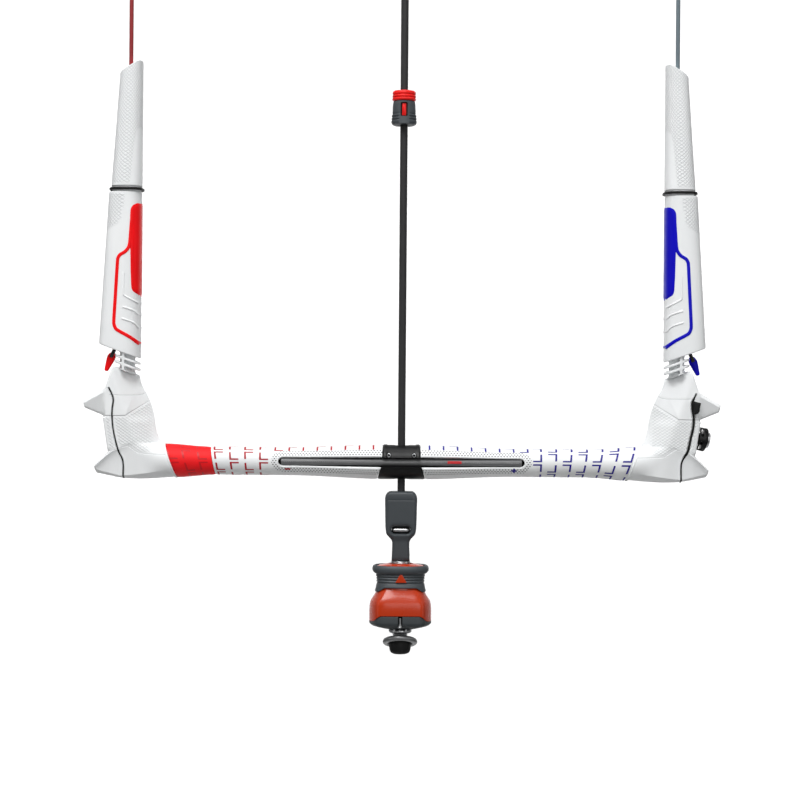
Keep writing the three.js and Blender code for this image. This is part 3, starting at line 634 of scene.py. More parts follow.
front_loop = loop_piece("depower_line_eye", 0, LINE_TOP, 14, 26, 6.4, BLACK_CORD, "swivel_head",
                        "front_line_loop", "black_line")
line_piece("depower_line_braid", 0, HEAD_TOP, LINE_TOP, 3, BLACK_CORD, "swivel_head", "depower_line", "black_line")
for name, side in SIDES.items():
    slot = {"left": "red_line", "right": "grey_line"}[name]
    loops = loop_piece(f"{name}_leader_eye", side * LEADER_X, LEADER_TOP, 8, 17, 3.6, LEADER[name],
                       f"{name}_float", f"{name}_leader_loop", slot)
    line_piece(f"{name}_leader_braid", side * LEADER_X, FLOAT_TOP - 3.5, LEADER_TOP, 1.7, LEADER[name],
               f"{name}_float", f"{name}_leader_line", slot)


# ---- Grip ----
END_SLOPE = 0.3585
GRIP_UNIT = 11.5  # the radius at which distances round the grip are counted
HALF_ROUND = PI * GRIP_UNIT
GRIP_END = 183.7
BAND_START = 150
SLOT_REACH, SLOT_HALF = 97.9, 3.9
MARK_PERIOD = 18.06


def grip_radius(x):
    away = np.abs(x)
    return 11.2 + 2.4 * smooth(1 - (away - 15) / 75) + 2.2 * smooth((away - 150) / 34)


def grip_place(x, s, lift=0.0):
    """A point of the grip's surface: x along the bar, s round it from the front."""
    x, s = np.asarray(x, float), np.asarray(s, float)
    r = grip_radius(x) + lift
    a = s / GRIP_UNIT
    y, z = -r * np.cos(a), r * np.sin(a)
    lean = END_SLOPE * clamp((x - 100) / 84) ** 1.3
    flare = 3.7 * smooth(-z / 13) * smooth((45 - x) / 30) * np.minimum(1, x / 15)
    return np.stack([x + lean * z + flare, y, z], -1)


def grip_sleeve(name, start, end, slotted, material, node, side, slot):
    """A foam sleeve between two places along the bar, for one side."""
    xs = np.linspace(start, end, max(2, round((end - start) / 2.2)))
    around = np.linspace(-HALF_ROUND, HALF_ROUND, 56)
    edge = [(start, s) for s in around]
    if slotted:
        tip = SLOT_REACH - SLOT_HALF
        curve = [(tip + SLOT_HALF * math.cos(t), SLOT_HALF * math.sin(t)) for t in np.linspace(-PI / 2, PI / 2, 14)]
        notch = [(start, -SLOT_HALF)] + curve + [(start, SLOT_HALF)]
        edge = [p for p in edge if p[1] < -SLOT_HALF - 0.3] + notch + [p for p in edge if p[1] > SLOT_HALF + 0.3]
    outline = np.array(edge + [(x, HALF_ROUND) for x in xs[1:-1]] + [(end, s) for s in around[::-1]]
                       + [(x, -HALF_ROUND) for x in xs[1:-1][::-1]])
    extra = grid(xs[1:-1], around[1:-1])
    if slotted:
        rim = resample(notch, 1.4)
        rows = [(rim + k * edge_normals(rim))[1:-1] for k in (0.22, 0.45, 1.0, 1.5, 3.2, 5.1, 5.6)]
        extra = np.concatenate([extra[polyline_distance(extra, notch) > 6.2]] + rows)
    verts, faces = cdt(outline, [], extra)
    lift, tex = np.zeros(len(verts)), np.zeros(len(verts))
    if slotted:
        near = polyline_distance(verts, notch)
        lift -= 0.5 * (1 - np.sqrt(clamp(near / 0.45)))
        tex = smooth((near - 1.0) / 0.4) * smooth((5.5 - near) / 0.4)
    for at in (start, end):
        lift -= 0.35 * (1 - smooth(np.abs(verts[:, 0] - at) / 0.5))
    # The open edges fold in by 2 mm
    inner_of, inner, skin = {}, [], [tuple(f) for f in faces]
    for a, b in border(faces):
        if min(abs(verts[a][1]), abs(verts[b][1])) > HALF_ROUND - 1e-3:
            continue
        for v in (a, b):
            if v not in inner_of:
                inner_of[v] = len(verts) + len(inner)
                inner.append(v)
        skin.append((b, a, inner_of[a], inner_of[b]))
    everything = np.concatenate([grip_place(*verts.T, lift), grip_place(*verts[inner].T, -2.0)])
    points = {"tex": np.concatenate([tex, np.zeros(len(inner))]),
              "pat": np.concatenate([np.insert(verts, 2, 0, axis=1), np.zeros((len(inner), 3))])}
    weld(add(name, everything, skin, material, "bar", (node,), slot, side, points=points), 2e-5)


def patches(name, shapes, lift, material, slot, side):
    """Thin printed shapes on the grip: each is a rectangle (x0, x1, s0, s1) in the grip's own coordinates."""
    verts, faces = [], []
    for x0, x1, s0, s1 in shapes:
        nx, ns = max(1, math.ceil((x1 - x0) / 2.0)), max(1, math.ceil((s1 - s0) / 1.2))
        base, w = sum(len(v) for v in verts), nx + 1
        verts.append(grip_place(*grid(np.linspace(x0, x1, w), np.linspace(s0, s1, ns + 1)).T, lift))
        faces += [(base + j * w + i, base + j * w + i + 1, base + (j + 1) * w + i + 1, base + (j + 1) * w + i)
                  for j in range(ns) for i in range(nx)]
    add(name, np.concatenate(verts), faces, material, "bar", slot=slot, side=side)


def marks(columns):
    """The hook marks round the grip: feet point to the centre, and alternate columns are half a period apart."""
    shapes = []
    for i, x in enumerate(columns):
        for k in range(-2, 3):
            for sign in (1, -1):
                foot, bend, tip = ((k + i % 2 / 2) * MARK_PERIOD + 0.3 + sign * s for s in (0.85, 2.0, 7.5))
                if max(abs(foot), abs(tip)) <= HALF_ROUND - 0.3:
                    shapes.append((x - 0.75, x + 0.75, *sorted((foot, tip))))
                    shapes.append((x - 6.4, x - 0.75, *sorted((foot, bend))))
    return shapes


for name, side in SIDES.items():
    left = name == "left"
    grip_sleeve(f"{name}_grip_sleeve", 15.3, BAND_START if left else GRIP_END, True, GRIP_WHITE, f"{name}_grip", side,
                "white_foam")
    if left:
        grip_sleeve("left_band_sleeve", BAND_START + 0.3, GRIP_END, False, RED_BAND, "left_grip_band", side,
                    "red_foam")
    first, step, count = (112.2, 11.7, 4) if left else (110.9, 11.75, 7)
    hooks = marks([first + step * i for i in range(count)])
    ticks = []
    for i in range(8):
        x = 22.3 + 11.18 * i
        ticks.append((x - 0.7, x + 0.7, 9.6, 16.5))
        if i in (2, 4, 6, 7):
            ticks.append((x - 6.4, x - 0.7, *((9.6, 10.6) if i == 7 else (15.5, 16.5))))
    patches(f"{name}_grip_marks", hooks + ticks, 0.09, MARK[name], PRINT_SLOT[name], side)
    if left:
        band_marks = [m for m in marks([160.3, 172, 183.2]) if m[0] > BAND_START + 1]
        patches("left_band_marks", band_marks, 0.05, RED_DEEP, "red_foam", side)
    # A minus sign on the left and a plus sign on the right
    x, s = (90.4, -6.3) if left else (89.5, -6.5)
    signs = [(x - 2.2, x + 2.2, s - 0.7, s + 0.7)]
    if not left:
        signs += [(x - 0.7, x + 0.7, s + 0.7, s + 2.2), (x - 0.7, x + 0.7, s - 2.2, s - 0.7)]
    patches(f"{name}_trim_sign", signs, 0.12, MARK[name], PRINT_SLOT[name], side)

# The indicator behind the slot: a rod with a row of fine dots, and the red slider on it
cord("indicator_rod", [(x, -7.9, 0) for x in np.linspace(-95.6, 95.6, 80)], 2.9, 24, ROD, "bar", ("indicator_track",),
     "black_plastic")
dots = [(x + 0.28 * math.cos(a), -10.8, 0.28 * math.sin(a)) for x in np.arange(-93, 94, 1.6)
        for a in np.arange(6) * PI / 3]
add("indicator_rod_scale", dots, np.arange(len(dots)).reshape(-1, 6), STEEL, "bar", slot="steel")
# Painted shade: the bar tube is near-black so that the inside of the slot behind the rod reads dark. The centre core
# takes the same black.
paint(BLACK_CORE, "bar_tube", "centre_core")
x = sum(c[0] for c in cad("depower_indicator")) / 2
outline = rounded([(x - 5.6, -0.8), (x + 5.6, -0.8), (x + 5.6, 1.4), (x - 5.6, 1.4)], 0.4)
plate("indicator_slider", outline, 0.6, 0.3, INDICATOR_RED, "depower_indicator", spacing=1.0, y=-10.7,
      replaces=("depower_indicator",), slot="red_print")


# ---- Centre shells ----
def prism(outline, low, high, axis="z"):
    """A closed straight prism, for cutting: along z it is an (x, y) outline, along y an (x, z) one."""
    return rings([np.insert(np.asarray(outline, float), "xyz".index(axis), h, axis=1) for h in (low, high)])


def stadium(half, radius, n=12, x=0.0, y=0.0):
    a = np.linspace(-PI / 2, PI / 2, n)
    right = [(x + half - radius + radius * math.cos(t), y + radius * math.sin(t)) for t in a]
    left = [(x - half + radius - radius * math.cos(t), y - radius * math.sin(t)) for t in a]
    return np.array(right + left)


def centre_shell(name, node, upper):
    """One of the two shells clamped round the middle of the bar."""
    start, end = (PI * 0.09, PI * 0.985) if upper else (-PI * 0.985, -PI * 0.09)
    a = np.linspace(start, end, 40)
    half = 15
    stack = []
    for x in np.linspace(-half, half, 31):
        edge = half - abs(x)
        outer = 13.75 - 0.5 * (1 - smooth(edge / 0.7)) + (0.4 if 0.8 < edge < 3.2 and upper else 0)
        ring = []
        for r, turn in ((outer, a), (9.6, a[::-1])):
            y, z = -r * np.cos(turn), r * np.sin(turn)
            ring.append(np.stack([x + np.sign(x) * 3.7 * smooth(-z / 13) * min(1, abs(x) / half), y, z], 1))
        stack.append(np.concatenate(ring))
    obj = add(name, *rings(stack), BLACK_SHELL, "bar", (node,), "black_plastic", crease=30)
    cutters = [prism(stadium(6.7, 3.5), *((2, 20) if upper else (-20, -2)))]
    if upper:
        cutters += [prism(stadium(2.05, 2.049, 14, x, 5.6), -20, -9, "y") for x in (-10, 10)]
    carve(obj, *cutters)


centre_shell("centre_shell_top", "centre_upper_shell", True)
centre_shell("centre_shell_bottom", "centre_lower_shell", False)


def as_screw(verts):
    """Points an upright piece to the front, at the screw's place."""
    return verts[:, [0, 2, 1]] * [1, -1, 1] + [10, -7.6, 5.6]


for name, side in SIDES.items():
    lathe(f"{name}_screw_head", [(0.55, 0.4), (0.95, 0.4), (0.95, 3.9), (1.75, 4.0), (1.8, 4.5), (1.5, 4.95),
                                 (1.05, 5.0), (0.85, 4.6), (0.7, 3.2), (0, 3.1)], 24, STEEL, "bar",
          (f"{name}_centre_screw",), "steel", 0.12, side=side, crease=25, place=as_screw)
    # Painted shade: a black hex disc at the bottom of the screw head's recess.
    lathe(f"{name}_screw_socket_shade", [(0, 3.15), (0.8, 3.15), (0.8, 3.3), (0, 3.3)], 6, BLACK_CORE, "bar", slot="steel",
          side=side, place=as_screw)

# ---- Bar ends ----
END_OUTLINE = [(179.45, -12.9), (184.4, 0.8), (189.0, 14), (192.4, 16.2), (195.0, 20.6), (196.4, 27), (197.4, 34),
               (199.2, 42), (202.4, 50), (206.2, 57), (208.8, 62.4), (209.5, 67.8), (229.9, 74.6), (235.8, 57.6),
               (253.9, 47.6), (252.6, 41.8), (237.6, 35.6), (233.2, 6.5), (244.8, -4.8), (243.6, -10.3), (222.4, -14.2),
               (208, -14.8), (194, -14.2)]
END_CORNERS = [0.3, 0.3, 1.5, 2, 3, 4, 4, 4, 4, 4, 3, 1.6, 1.6, 1.2, 0.9, 0.9, 1.2, 1.6, 0.9, 0.9, 4, 5, 4]
END_TOP_LINE = [(200.6, 48.6), (205.2, 45.4), (212.7, 40.3), (219.5, 35.6), (227.1, 35.4), (235.2, 35.6)]
END_SEAM = [(203.5, 55.0), (207.2, 52.6), (211.2, 51.9), (222.1, 51.8), (231.4, 52.1)]
END_LOW_LINE = [(185.9, 5.0), (196.3, 5.1), (208.0, 5.6), (212.7, 8.6), (217.3, 11.6), (221.9, 10.5), (227.1, 8.6),
                (231.3, 7.4)]
END_FACET = [(221.6, 73.8), (212.4, 54.0), (219.5, 35.6)]
END_CREASE = [(209.9, 17.3), (218.7, 12.2), (228.0, 8.2), (233.6, 4.0), (243.0, -4.0)]
END_LOW_EDGE = [(178.0, -6.2), (188.1, -7.7), (200.0, -9.6), (214.0, -11.4), (222.4, -12.2), (243.4, -7.4)]
HORN_CREASE = [(236.0, 54.2), (253.6, 44.8)]
ELASTIC = {"left": [(232.3, 57.2), (230.2, 53.2), (228.7, 48.0), (229.4, 41.5), (229.6, 35.0), (228.8, 25.7),
                    (226.9, 16.3), (224.3, 7.0), (221.6, 1.4), (220.7, -4.2), (221.0, -13.6)],
           "right": [(233.2, 56.0), (231.4, 52.0), (230.2, 48.2), (230.6, 42.7), (231.5, 36.5), (231.2, 29.7),
                     (229.2, 20.5), (227.2, 11.2), (224.9, 6.6), (222.8, 2.4), (222.0, -1.7), (222.3, -13.5)]}
ELASTIC_RADIUS = {"left": 0.42, "right": 0.85}
END_RIM = 1.8
END_PATTERN = [(200.9, 47.8), (212.8, 39.5), (219.7, 34.8), (236.0, 34.9), (231.6, 8.2), (227.1, 9.3), (221.9, 11.3),
               (217.3, 12.4), (212.2, 9.3), (207.8, 6.4), (197.3, 6.0), (195.8, 14.3), (196.8, 24.2), (197.9, 34.1)]


def signed_side(p, a, b):
    """Distance from the line a-b, positive to its left."""
    d = np.subtract(b, a) / np.linalg.norm(np.subtract(b, a))
    return d[0] * (p[:, 1] - a[1]) - d[1] * (p[:, 0] - a[0])


def elastic_radius(name, z):
    """The elastic is thinnest at its two turns."""
    return lerp(ELASTIC_RADIUS["left"], ELASTIC_RADIUS[name], smooth((z - 1) / 9) * (1 - smooth((z - 49) / 6)))


def height_at(x, line):
    return np.interp(x, *np.array(line).T)


def end_depth(p, edge, name):
    """Half the bar end's depth at (x, z) points."""
    x, z = p[:, 0], p[:, 1]
    top, low, crease, ridge = (height_at(x, line) for line in (END_TOP_LINE, END_LOW_LINE, END_CREASE, HORN_CREASE))
    h = 12.7 - 0.02 * np.maximum(0, z - 40)
    h += 0.4 * smooth((z - top) / 0.5) * (x > 200)
    left = np.where(z > 54, signed_side(p, END_FACET[1], END_FACET[0]), signed_side(p, END_FACET[2], END_FACET[1]))
    h -= 0.3 * np.maximum(0, left) * smooth((z - 30) / 8)
    h += smooth((low - z) / 0.5) * smooth((x - 184) / 12) * 0.3 - 0.07 * np.maximum(0, low - z)
    h -= 1.5 * np.maximum(0, height_at(x, END_LOW_EDGE) - z)
    scoop = np.interp(x, [210, 216, 224, 232, 243], [0, 0.9, 1.7, 2.5, 3.2])
    h -= scoop * (1 - np.exp(np.minimum(0, z - crease) * 0.86 / 3.2)) * (z < 20)
    h -= 0.75 * np.maximum(0, z - crease) * smooth((x - 229) / 4) * smooth((9.5 - z) / 3)
    h -= 0.25 * np.maximum(0, x - 232) * (z < 9)
    horn = 0.55 * np.maximum(0, z - ridge) + 0.3 * np.maximum(0, ridge - z) + 0.2 * np.maximum(0, x - 236)
    h -= horn * smooth((x - 234.5) / 4) * (z > 34)
    h -= 1.1 * smooth((200 - x) / 16)
    circle = np.sqrt(np.maximum(13.7**2 - z**2, 0.2))
    h = lerp(circle, np.maximum(h, 1.2), smooth((x - 186 - 0.35 * z) / 22))
    groove = polyline_distance(p, spline(ELASTIC[name], 8)) - elastic_radius(name, z)
    h += 0.25 * smooth((1.7 - groove) / 0.9) - 1.2 * (1 - smooth(groove / 0.4))
    for line in (END_SEAM, END_TOP_LINE, END_LOW_LINE):
        h -= 0.16 * (1 - smooth(polyline_distance(p, line) / 0.4))
    return h


def end_seams(p):
    near = np.min([polyline_distance(p, line) for line in (END_SEAM, END_TOP_LINE, END_LOW_LINE)], 0)
    return 1 - smooth((near - 0.1) / 0.35)


def end_pattern(p, name):
    pattern = inside(p, END_PATTERN) * smooth((polyline_distance(p, END_PATTERN, True) - 0.2) / 0.7)
    elastic = smooth((polyline_distance(p, spline(ELASTIC[name], 8)) - 2.0) / 0.5)
    return pattern * elastic * smooth((p[:, 0] - 196 - (p[:, 1] - 18) * 0.02) / 7)


def bar_end(name, side):
    outline = rounded(END_OUTLINE, END_CORNERS)
    front = spline(ELASTIC[name], 8)
    lines = [front, END_SEAM, END_TOP_LINE, END_LOW_LINE, END_FACET, END_CREASE, END_LOW_EDGE[1:], HORN_CREASE]
    plate(f"{name}_end_block", outline, 0, END_RIM, WHITE, "bar", lambda p, e: end_depth(p, e, name), lines,
          spacing=1.5, tex=lambda p: end_pattern(p, name), seam=end_seams, side=side, crease=26,
          replaces=(f"{name}_bar_end",), slot="white_foam")
    edge = polyline_distance(front, resample(outline, 1.0, True), True)
    r = elastic_radius(name, front[:, 1])
    h = end_depth(front, edge, name) - rim_drop(edge, END_RIM) + 1.4 - r
    (x0, z0), x1 = front[0], front[-1][0]
    path = [(x, -d, z) for (x, z), d in zip(front, h)]
    path += [(x1, y, -14.1) for y in np.linspace(-h[-1] * 0.75, h[-1] * 0.75, 9)]
    path += [(x, d, z) for (x, z), d in zip(front[::-1], h[::-1])]
    path += [(x0 + 0.5, y, z0 + 1.5) for y in np.linspace(h[0] * 0.75, -h[0] * 0.75, 9)]
    radius = np.concatenate([r, np.full(9, r[-1]), r[::-1], np.full(9, r[0])])
    cord(f"{name}_elastic_loop", spline(path, 2, True), np.repeat(radius, 2), 14, BLACK_CORE, "bar",
         (f"{name}_elastic",), "black_rubber", side, True)


for name, side in SIDES.items():
    bar_end(name, side)
    # The slim trim ring where the grip meets the bar end
    a = np.linspace(0, 2 * PI, 65)[:-1]
    ring = [np.stack([184.6 + dx + END_SLOPE * r * np.sin(a), -r * np.cos(a), r * np.sin(a)], 1) for dx, r in
            [(-0.9, 13.0), (-0.9, 13.6), (-0.5, 13.9), (0.5, 13.9), (0.9, 13.7), (0.9, 12.6)]]
    add(f"{name}_end_trim", *rings(ring, wrap=True), WHITE, "bar", side=side, slot="white_foam")

outline = rounded([(230.6, 50.6), (236.7, 48.9), (235.9, 46.1), (235.6, 42.6), (234.6, 40.7), (231.2, 39.8)], 0.5)
plate("elastic_hook", outline, 1.9, 0.5, BLACK_RUBBER, "bar", spacing=1.2, y=-14.6, replaces=("elastic_catch",),
      slot="black_rubber")
plate("elastic_hook_face", rounded([(232.0, 49.0), (235.4, 47.9), (234.7, 45.2), (234.5, 42.8), (232.2, 41.4)], 0.4),
      0.5, 0.3, BLACK_SHELL, "bar", spacing=1.0, y=-16.3, slot="black_rubber")

# ---- Adjuster ----
KNOB_AXIS, KNOB_AT = joint("adjuster_turn")


def on_knob(verts):
    """Turns a piece built along +Z from the end's side face onto the knob's axis."""
    z = KNOB_AXIS / np.linalg.norm(KNOB_AXIS)
    y = np.array([0, 1.0, 0])
    x = np.cross(y, z)
    v = np.asarray(verts, float)
    return v[:, :1] * x + v[:, 1:2] * y + v[:, 2:] * z + KNOB_AT


def merged(*meshes):
    verts, faces = [], []
    for v, f in meshes:
        base = sum(len(q) for q in verts)
        verts.append(np.asarray(v, float))
        faces += [tuple(base + i for i in face) for face in f]
    return np.concatenate(verts), faces


def posts(count, first, radius, low, high, width, thick):
    """Small rounded posts in a ring, upright between two heights. first is the first one's angle."""
    w, t = width / 2, thick / 2
    outline = rounded([(radius - t, -w), (radius + t, -w), (radius + t, w), (radius - t, w)], 0.5, 3)
    made = []
    for angle in first + np.arange(count) * 2 * PI / count:
        c, s = math.cos(angle), math.sin(angle)
        turn = np.stack([outline[:, 0] * c - outline[:, 1] * s, outline[:, 0] * s + outline[:, 1] * c], 1)
        made.append(prism(turn, low, high))
    return made


disc = turned(rounded_profile([(0, 3.5), (9.2, 3.5), (9.3, 4.2), (9.2, 5.8), (8.6, 7), (6.9, 7), (6.6, 5.3), (0, 5.3)],
                              0.35), 60)
hub = turned(rounded_profile([(0, -1), (4.7, -1), (4.7, 4), (0, 4)], 0.3), 40)
foot = turned(rounded_profile([(6.6, 0.25), (9.2, 0.25), (9.3, 1.2), (6.6, 1.2)], 0.2, True), 60, wrap=True)
teeth = posts(12, PI / 12, 9.25, 4.0, 6.0, 1.6, 0.5)
add("adjuster_knob", *merged(disc, hub, foot, *posts(4, 0, 8.5, 0.5, 3.7, 3.8, 1.5), *teeth), BLACK_SHELL,
    "adjuster_wheel", ("adjuster_wheel",), "black_plastic", crease=30, place=on_knob)
lathe("adjuster_drum", [(0, -12), (6.6, -12), (6.6, -10.8), (4.8, -10.4), (4.8, -3.6), (6.6, -3.2), (6.6, -2), (0, -2)],
      40, BLACK_CORE, "adjuster_wheel", ("adjuster_spool",), "black_plastic", 0.3, place=on_knob)
lathe("button_cap", [(0, 3), (2.6, 3), (2.6, 7.4), (5.9, 7.4), (6.1, 8.1), (6.0, 9.0), (5.3, 9.4), (4.2, 9.4),
                     (3.7, 8.9), (0, 8.7)], 48, STEEL, "power_button", ("power_button",), "steel", 0.25, crease=28,
      place=on_knob)


# ---- Floats ----
FLOAT_POWER = 2.6  # how square a float's section is: 2 would be an ellipse
FLOAT_SLOPE = 0.3547
FLOAT_JOIN = 213.8
LEADER_OUT = 218.5


def float_point(spec, angle, z_share, lift=0.0):
    """A point of a float's side: angle 0 is the inner edge, and front is towards -y."""
    v = np.asarray(z_share, float)
    outer, half_y = lerp(*spec["outer"], v), lerp(*spec["depth"], v)
    cx, a = (outer + spec["inner"]) / 2, (outer - spec["inner"]) / 2
    c, s = np.cos(angle), np.sin(angle)
    k = 2 / FLOAT_POWER
    x = cx - (a + lift) * np.sign(c) * np.abs(c) ** k
    y = -(half_y + lift) * np.sign(s) * np.abs(s) ** k
    z = lerp(spec["low"](x), spec["high"](x), v)
    return np.stack([x, y, z], -1)


LOWER = {"inner": 209.2, "outer": (242.1, 234.9), "depth": (15.5, 12.8),
         "low": lambda x: 81.2 + FLOAT_SLOPE * (x - 209.5), "high": lambda x: FLOAT_JOIN + 0 * x}
UPPER = {"inner": 208.9, "outer": (233.2, 226.8), "depth": (12.6, 9.6),
         "low": lambda x: 218.0 + 0 * x, "high": lambda x: 318.8 - 0.62 * np.maximum(0, x - 211)}


def float_piece(name, spec, body, replaces, side, tex, length):
    """A float half, about so long, with softened ends. tex(x, z) says where it has the diamond pattern."""
    around, soften = 96, 0.9
    t = np.linspace(0, 1, 100)
    near = soften / length
    ends = near * np.array([0, 0.03, 0.12, 0.28, 0.5, 0.75, 1])
    shares = np.unique(np.concatenate([ends, t[(t > near) & (t < 1 - near)], 1 - ends]))
    a = np.arange(around) * 2 * PI / around
    stack, pat, mask = [], [], []
    for v in shares:
        away = max(0, 1 - v / near, 1 - (1 - v) / near)
        shrink = -soften * (1 - math.sqrt(max(0, 1 - away * away)))
        ring = float_point(spec, a, np.full(around, v), shrink)
        stack.append(ring)
        arc = np.abs(np.where(a > PI, a - 2 * PI, a)) / PI * 36
        pat.append(np.stack([arc, ring[:, 2], np.zeros(around)], 1))
        mask.append(tex(ring[:, 0], ring[:, 2]))
    points = {"tex": np.concatenate(mask), "pat": np.concatenate(pat)}
    add(name, *rings(stack), FLOAT_WHITE, body, replaces, "white_foam", side, crease=42, points=points)


def float_tex_lower(x, z):
    patch = [(220.3, 212), (221.2, 206.3), (223.2, 192.5), (225.8, 188), (235.2, 183), (244, 182), (244, 212)]
    p = np.stack([x, z], 1)
    return inside(p, patch) * smooth((polyline_distance(p, patch[:5]) - 0.1) / 0.8)


def float_tex_upper(x, z):
    plain = [(205, 264.6), (209.5, 264.6), (212.2, 262), (213.2, 256), (215.6, 230), (217, 217), (205, 217)]
    p = np.stack([x, z], 1)
    fade = polyline_distance(p, plain[1:6])
    return np.where(inside(p, plain), 0.0, smooth(fade / 1.2)) * smooth((z - 219) / 3)


def lower_share(x, z):
    return clamp((z - LOWER["low"](x)) / (FLOAT_JOIN - LOWER["low"](x)))


def lower_angle(x, z):
    """The angle on the lower float's front where its surface has this x, and the share of its height."""
    v = lower_share(x, z)
    outer = lerp(*LOWER["outer"], v)
    cx, a = (outer + LOWER["inner"]) / 2, (outer - LOWER["inner"]) / 2
    c = np.clip((cx - x) / a, -1, 1)
    return np.arccos(np.sign(c) * np.abs(c) ** (FLOAT_POWER / 2)), v


def ribbon(line, width, lift):
    """A flat strip laid on the lower float's front along (x, z) points, with sides that sink into it."""
    pts = resample(line, 1.0)
    rows = []
    for k, h in ((-0.5, -0.3), (-0.5, 0.6), (-0.3, 1.0), (0.3, 1.0), (0.5, 0.6), (0.5, -0.3)):
        q = pts + edge_normals(pts) * k * width
        rows.append(float_point(LOWER, *lower_angle(*q.T), lift * h if h > 0 else h))
    return rings(list(np.stack(rows, 1)))


def mirror_y(part):
    verts, faces = part
    return verts * [1, -1, 1], faces


PANEL = [(209.3, 204.8), (212.0, 204.2), (214.8, 202.4), (216.3, 199.6), (216.6, 194.5), (216.3, 170.7),
         (215.8, 149.0), (215.2, 137.1), (214.2, 134.3), (210.8, 132.1), (209.6, 130.6)]
BORDER = [(215.2, 194.0), (215.8, 184.6), (216.7, 172.2), (218.1, 168.1), (220.5, 165.3), (224.1, 163.0),
          (225.6, 160.4), (226.1, 156.9), (227.3, 133.1), (228.4, 111.4), (228.2, 107.8), (227.2, 105.0),
          (225.1, 103.0), (215.8, 97.8), (209.4, 92.8)]
RIDGES = [[(221.1, 149.0), (221.1, 132.7), (220.3, 130.8), (217.7, 129.1), (210.0, 125.0)],
          [(221.9, 121.7), (213.8, 119.1), (210.0, 115.9)], [(222.3, 112.5), (213.8, 109.6), (210.0, 105.6)]]


def float_panel():
    """The coloured panel that wraps the float's inner edge, with its border line on both faces. It is laid out flat:
    unit times the angle across, height up."""
    unit, raised, sunk = 12, 0.45, -0.4
    dense = resample(rounded(PANEL, [0, 0.6, 0.8, 1, 0.5, 0.5, 0.5, 1, 1, 0.5, 0], 3), 1.2, True)
    angles = np.where(dense[:, 0] <= 209.75, 0.0, lower_angle(*dense.T)[0])
    flat = np.stack([angles * unit, dense[:, 1]], 1)
    loop = [p for i, p in enumerate(flat) if np.linalg.norm(p - flat[i - 1]) > 1e-3]
    extra = grid(np.arange(0, 1.75 * unit, 0.9), np.arange(131, 206.5, 2.5))
    extra = extra[inside(extra, loop)]
    verts, faces = cdt(loop, [], extra[polyline_distance(extra, loop, True) > 0.5])
    at_edge = verts[:, 0] < 0.01
    lift = np.where(at_edge, raised, raised * smooth(polyline_distance(verts, loop, True) / 0.5 + 0.25))
    z, angle = verts[:, 1], verts[:, 0] / unit
    v = clamp((z - 81.2) / (FLOAT_JOIN - 81.2))
    for _ in range(3):
        v = lower_share(float_point(LOWER, angle, v)[:, 0], z)
    front, inner = float_point(LOWER, angle, v, lift), float_point(LOWER, angle, v, sunk)
    n = len(verts)
    skin = [tuple(f) for f in faces] + [tuple(n + f[::-1]) for f in faces]
    for a, b in border(faces):
        if not (at_edge[a] and at_edge[b]):
            skin += [(b, a, 2 * n + a, 2 * n + b), (n + a, n + b, 3 * n + b, 3 * n + a)]
    panel = (np.concatenate([front, front * [1, -1, 1], inner, inner * [1, -1, 1]]), skin)
    line = ribbon(spline(BORDER, 3), 2.6, 0.4)
    return merged(panel, line, mirror_y(line))


for name, side in SIDES.items():
    body = f"{name}_float"
    float_piece(f"{name}_float_base", LOWER, body, (f"{name}_float_lower",), side, float_tex_lower, 132.0)
    float_piece(f"{name}_float_tip", UPPER, body, (f"{name}_float_upper",), side, float_tex_upper, 101.0)
    weld(add(f"{name}_float_panel", *float_panel(), PRINT[name], body, (f"{name}_float_inlay",), PRINT_SLOT[name], side,
             crease=50), 1e-5)
    ridges = [ribbon(spline(r, 4), 1.3, 0.5) for r in RIDGES]
    add(f"{name}_float_ridges", *merged(*ridges, *map(mirror_y, ridges)), WHITE, body, slot="white_foam", side=side,
        crease=60)
    # The join between the two float halves, with its rubber band
    a = np.arange(96) * 2 * PI / 96

    def section(lift, z):
        return float_point(UPPER, a, np.zeros(96), lift) * [1, 1, 0] + [0, 0, z]

    spigot = [section(*at) for at in ((-1.6, 212.5), (-1.6, 213.9), (-0.9, 214.4), (-0.9, 218.2), (-1.2, 219.5))]
    add(f"{name}_float_collar", *rings(spigot), WHITE, body, slot="white_foam", side=side)
    cord(f"{name}_float_ring", section(0.6, 216.0), 1.1, 14, BLACK_RUBBER, body, (f"{name}_float_band",),
         "black_rubber", side, True)
    # Where the leader leaves the float's slanted tip
    eyelet = [(LEADER_OUT + 2.3 * math.cos(t), 2.3 * math.sin(t), 314.65 - 0.62 * 2.3 * math.cos(t))
              for t in np.arange(32) * PI / 16]
    cord(f"{name}_leader_eyelet", eyelet, 0.35, 8, BLACK_RUBBER, body, (), "black_rubber", side, True)


# ---- Necks ----
NECK_HALF = 9.7
NECK_X, NECK_Z = 219.5, 78


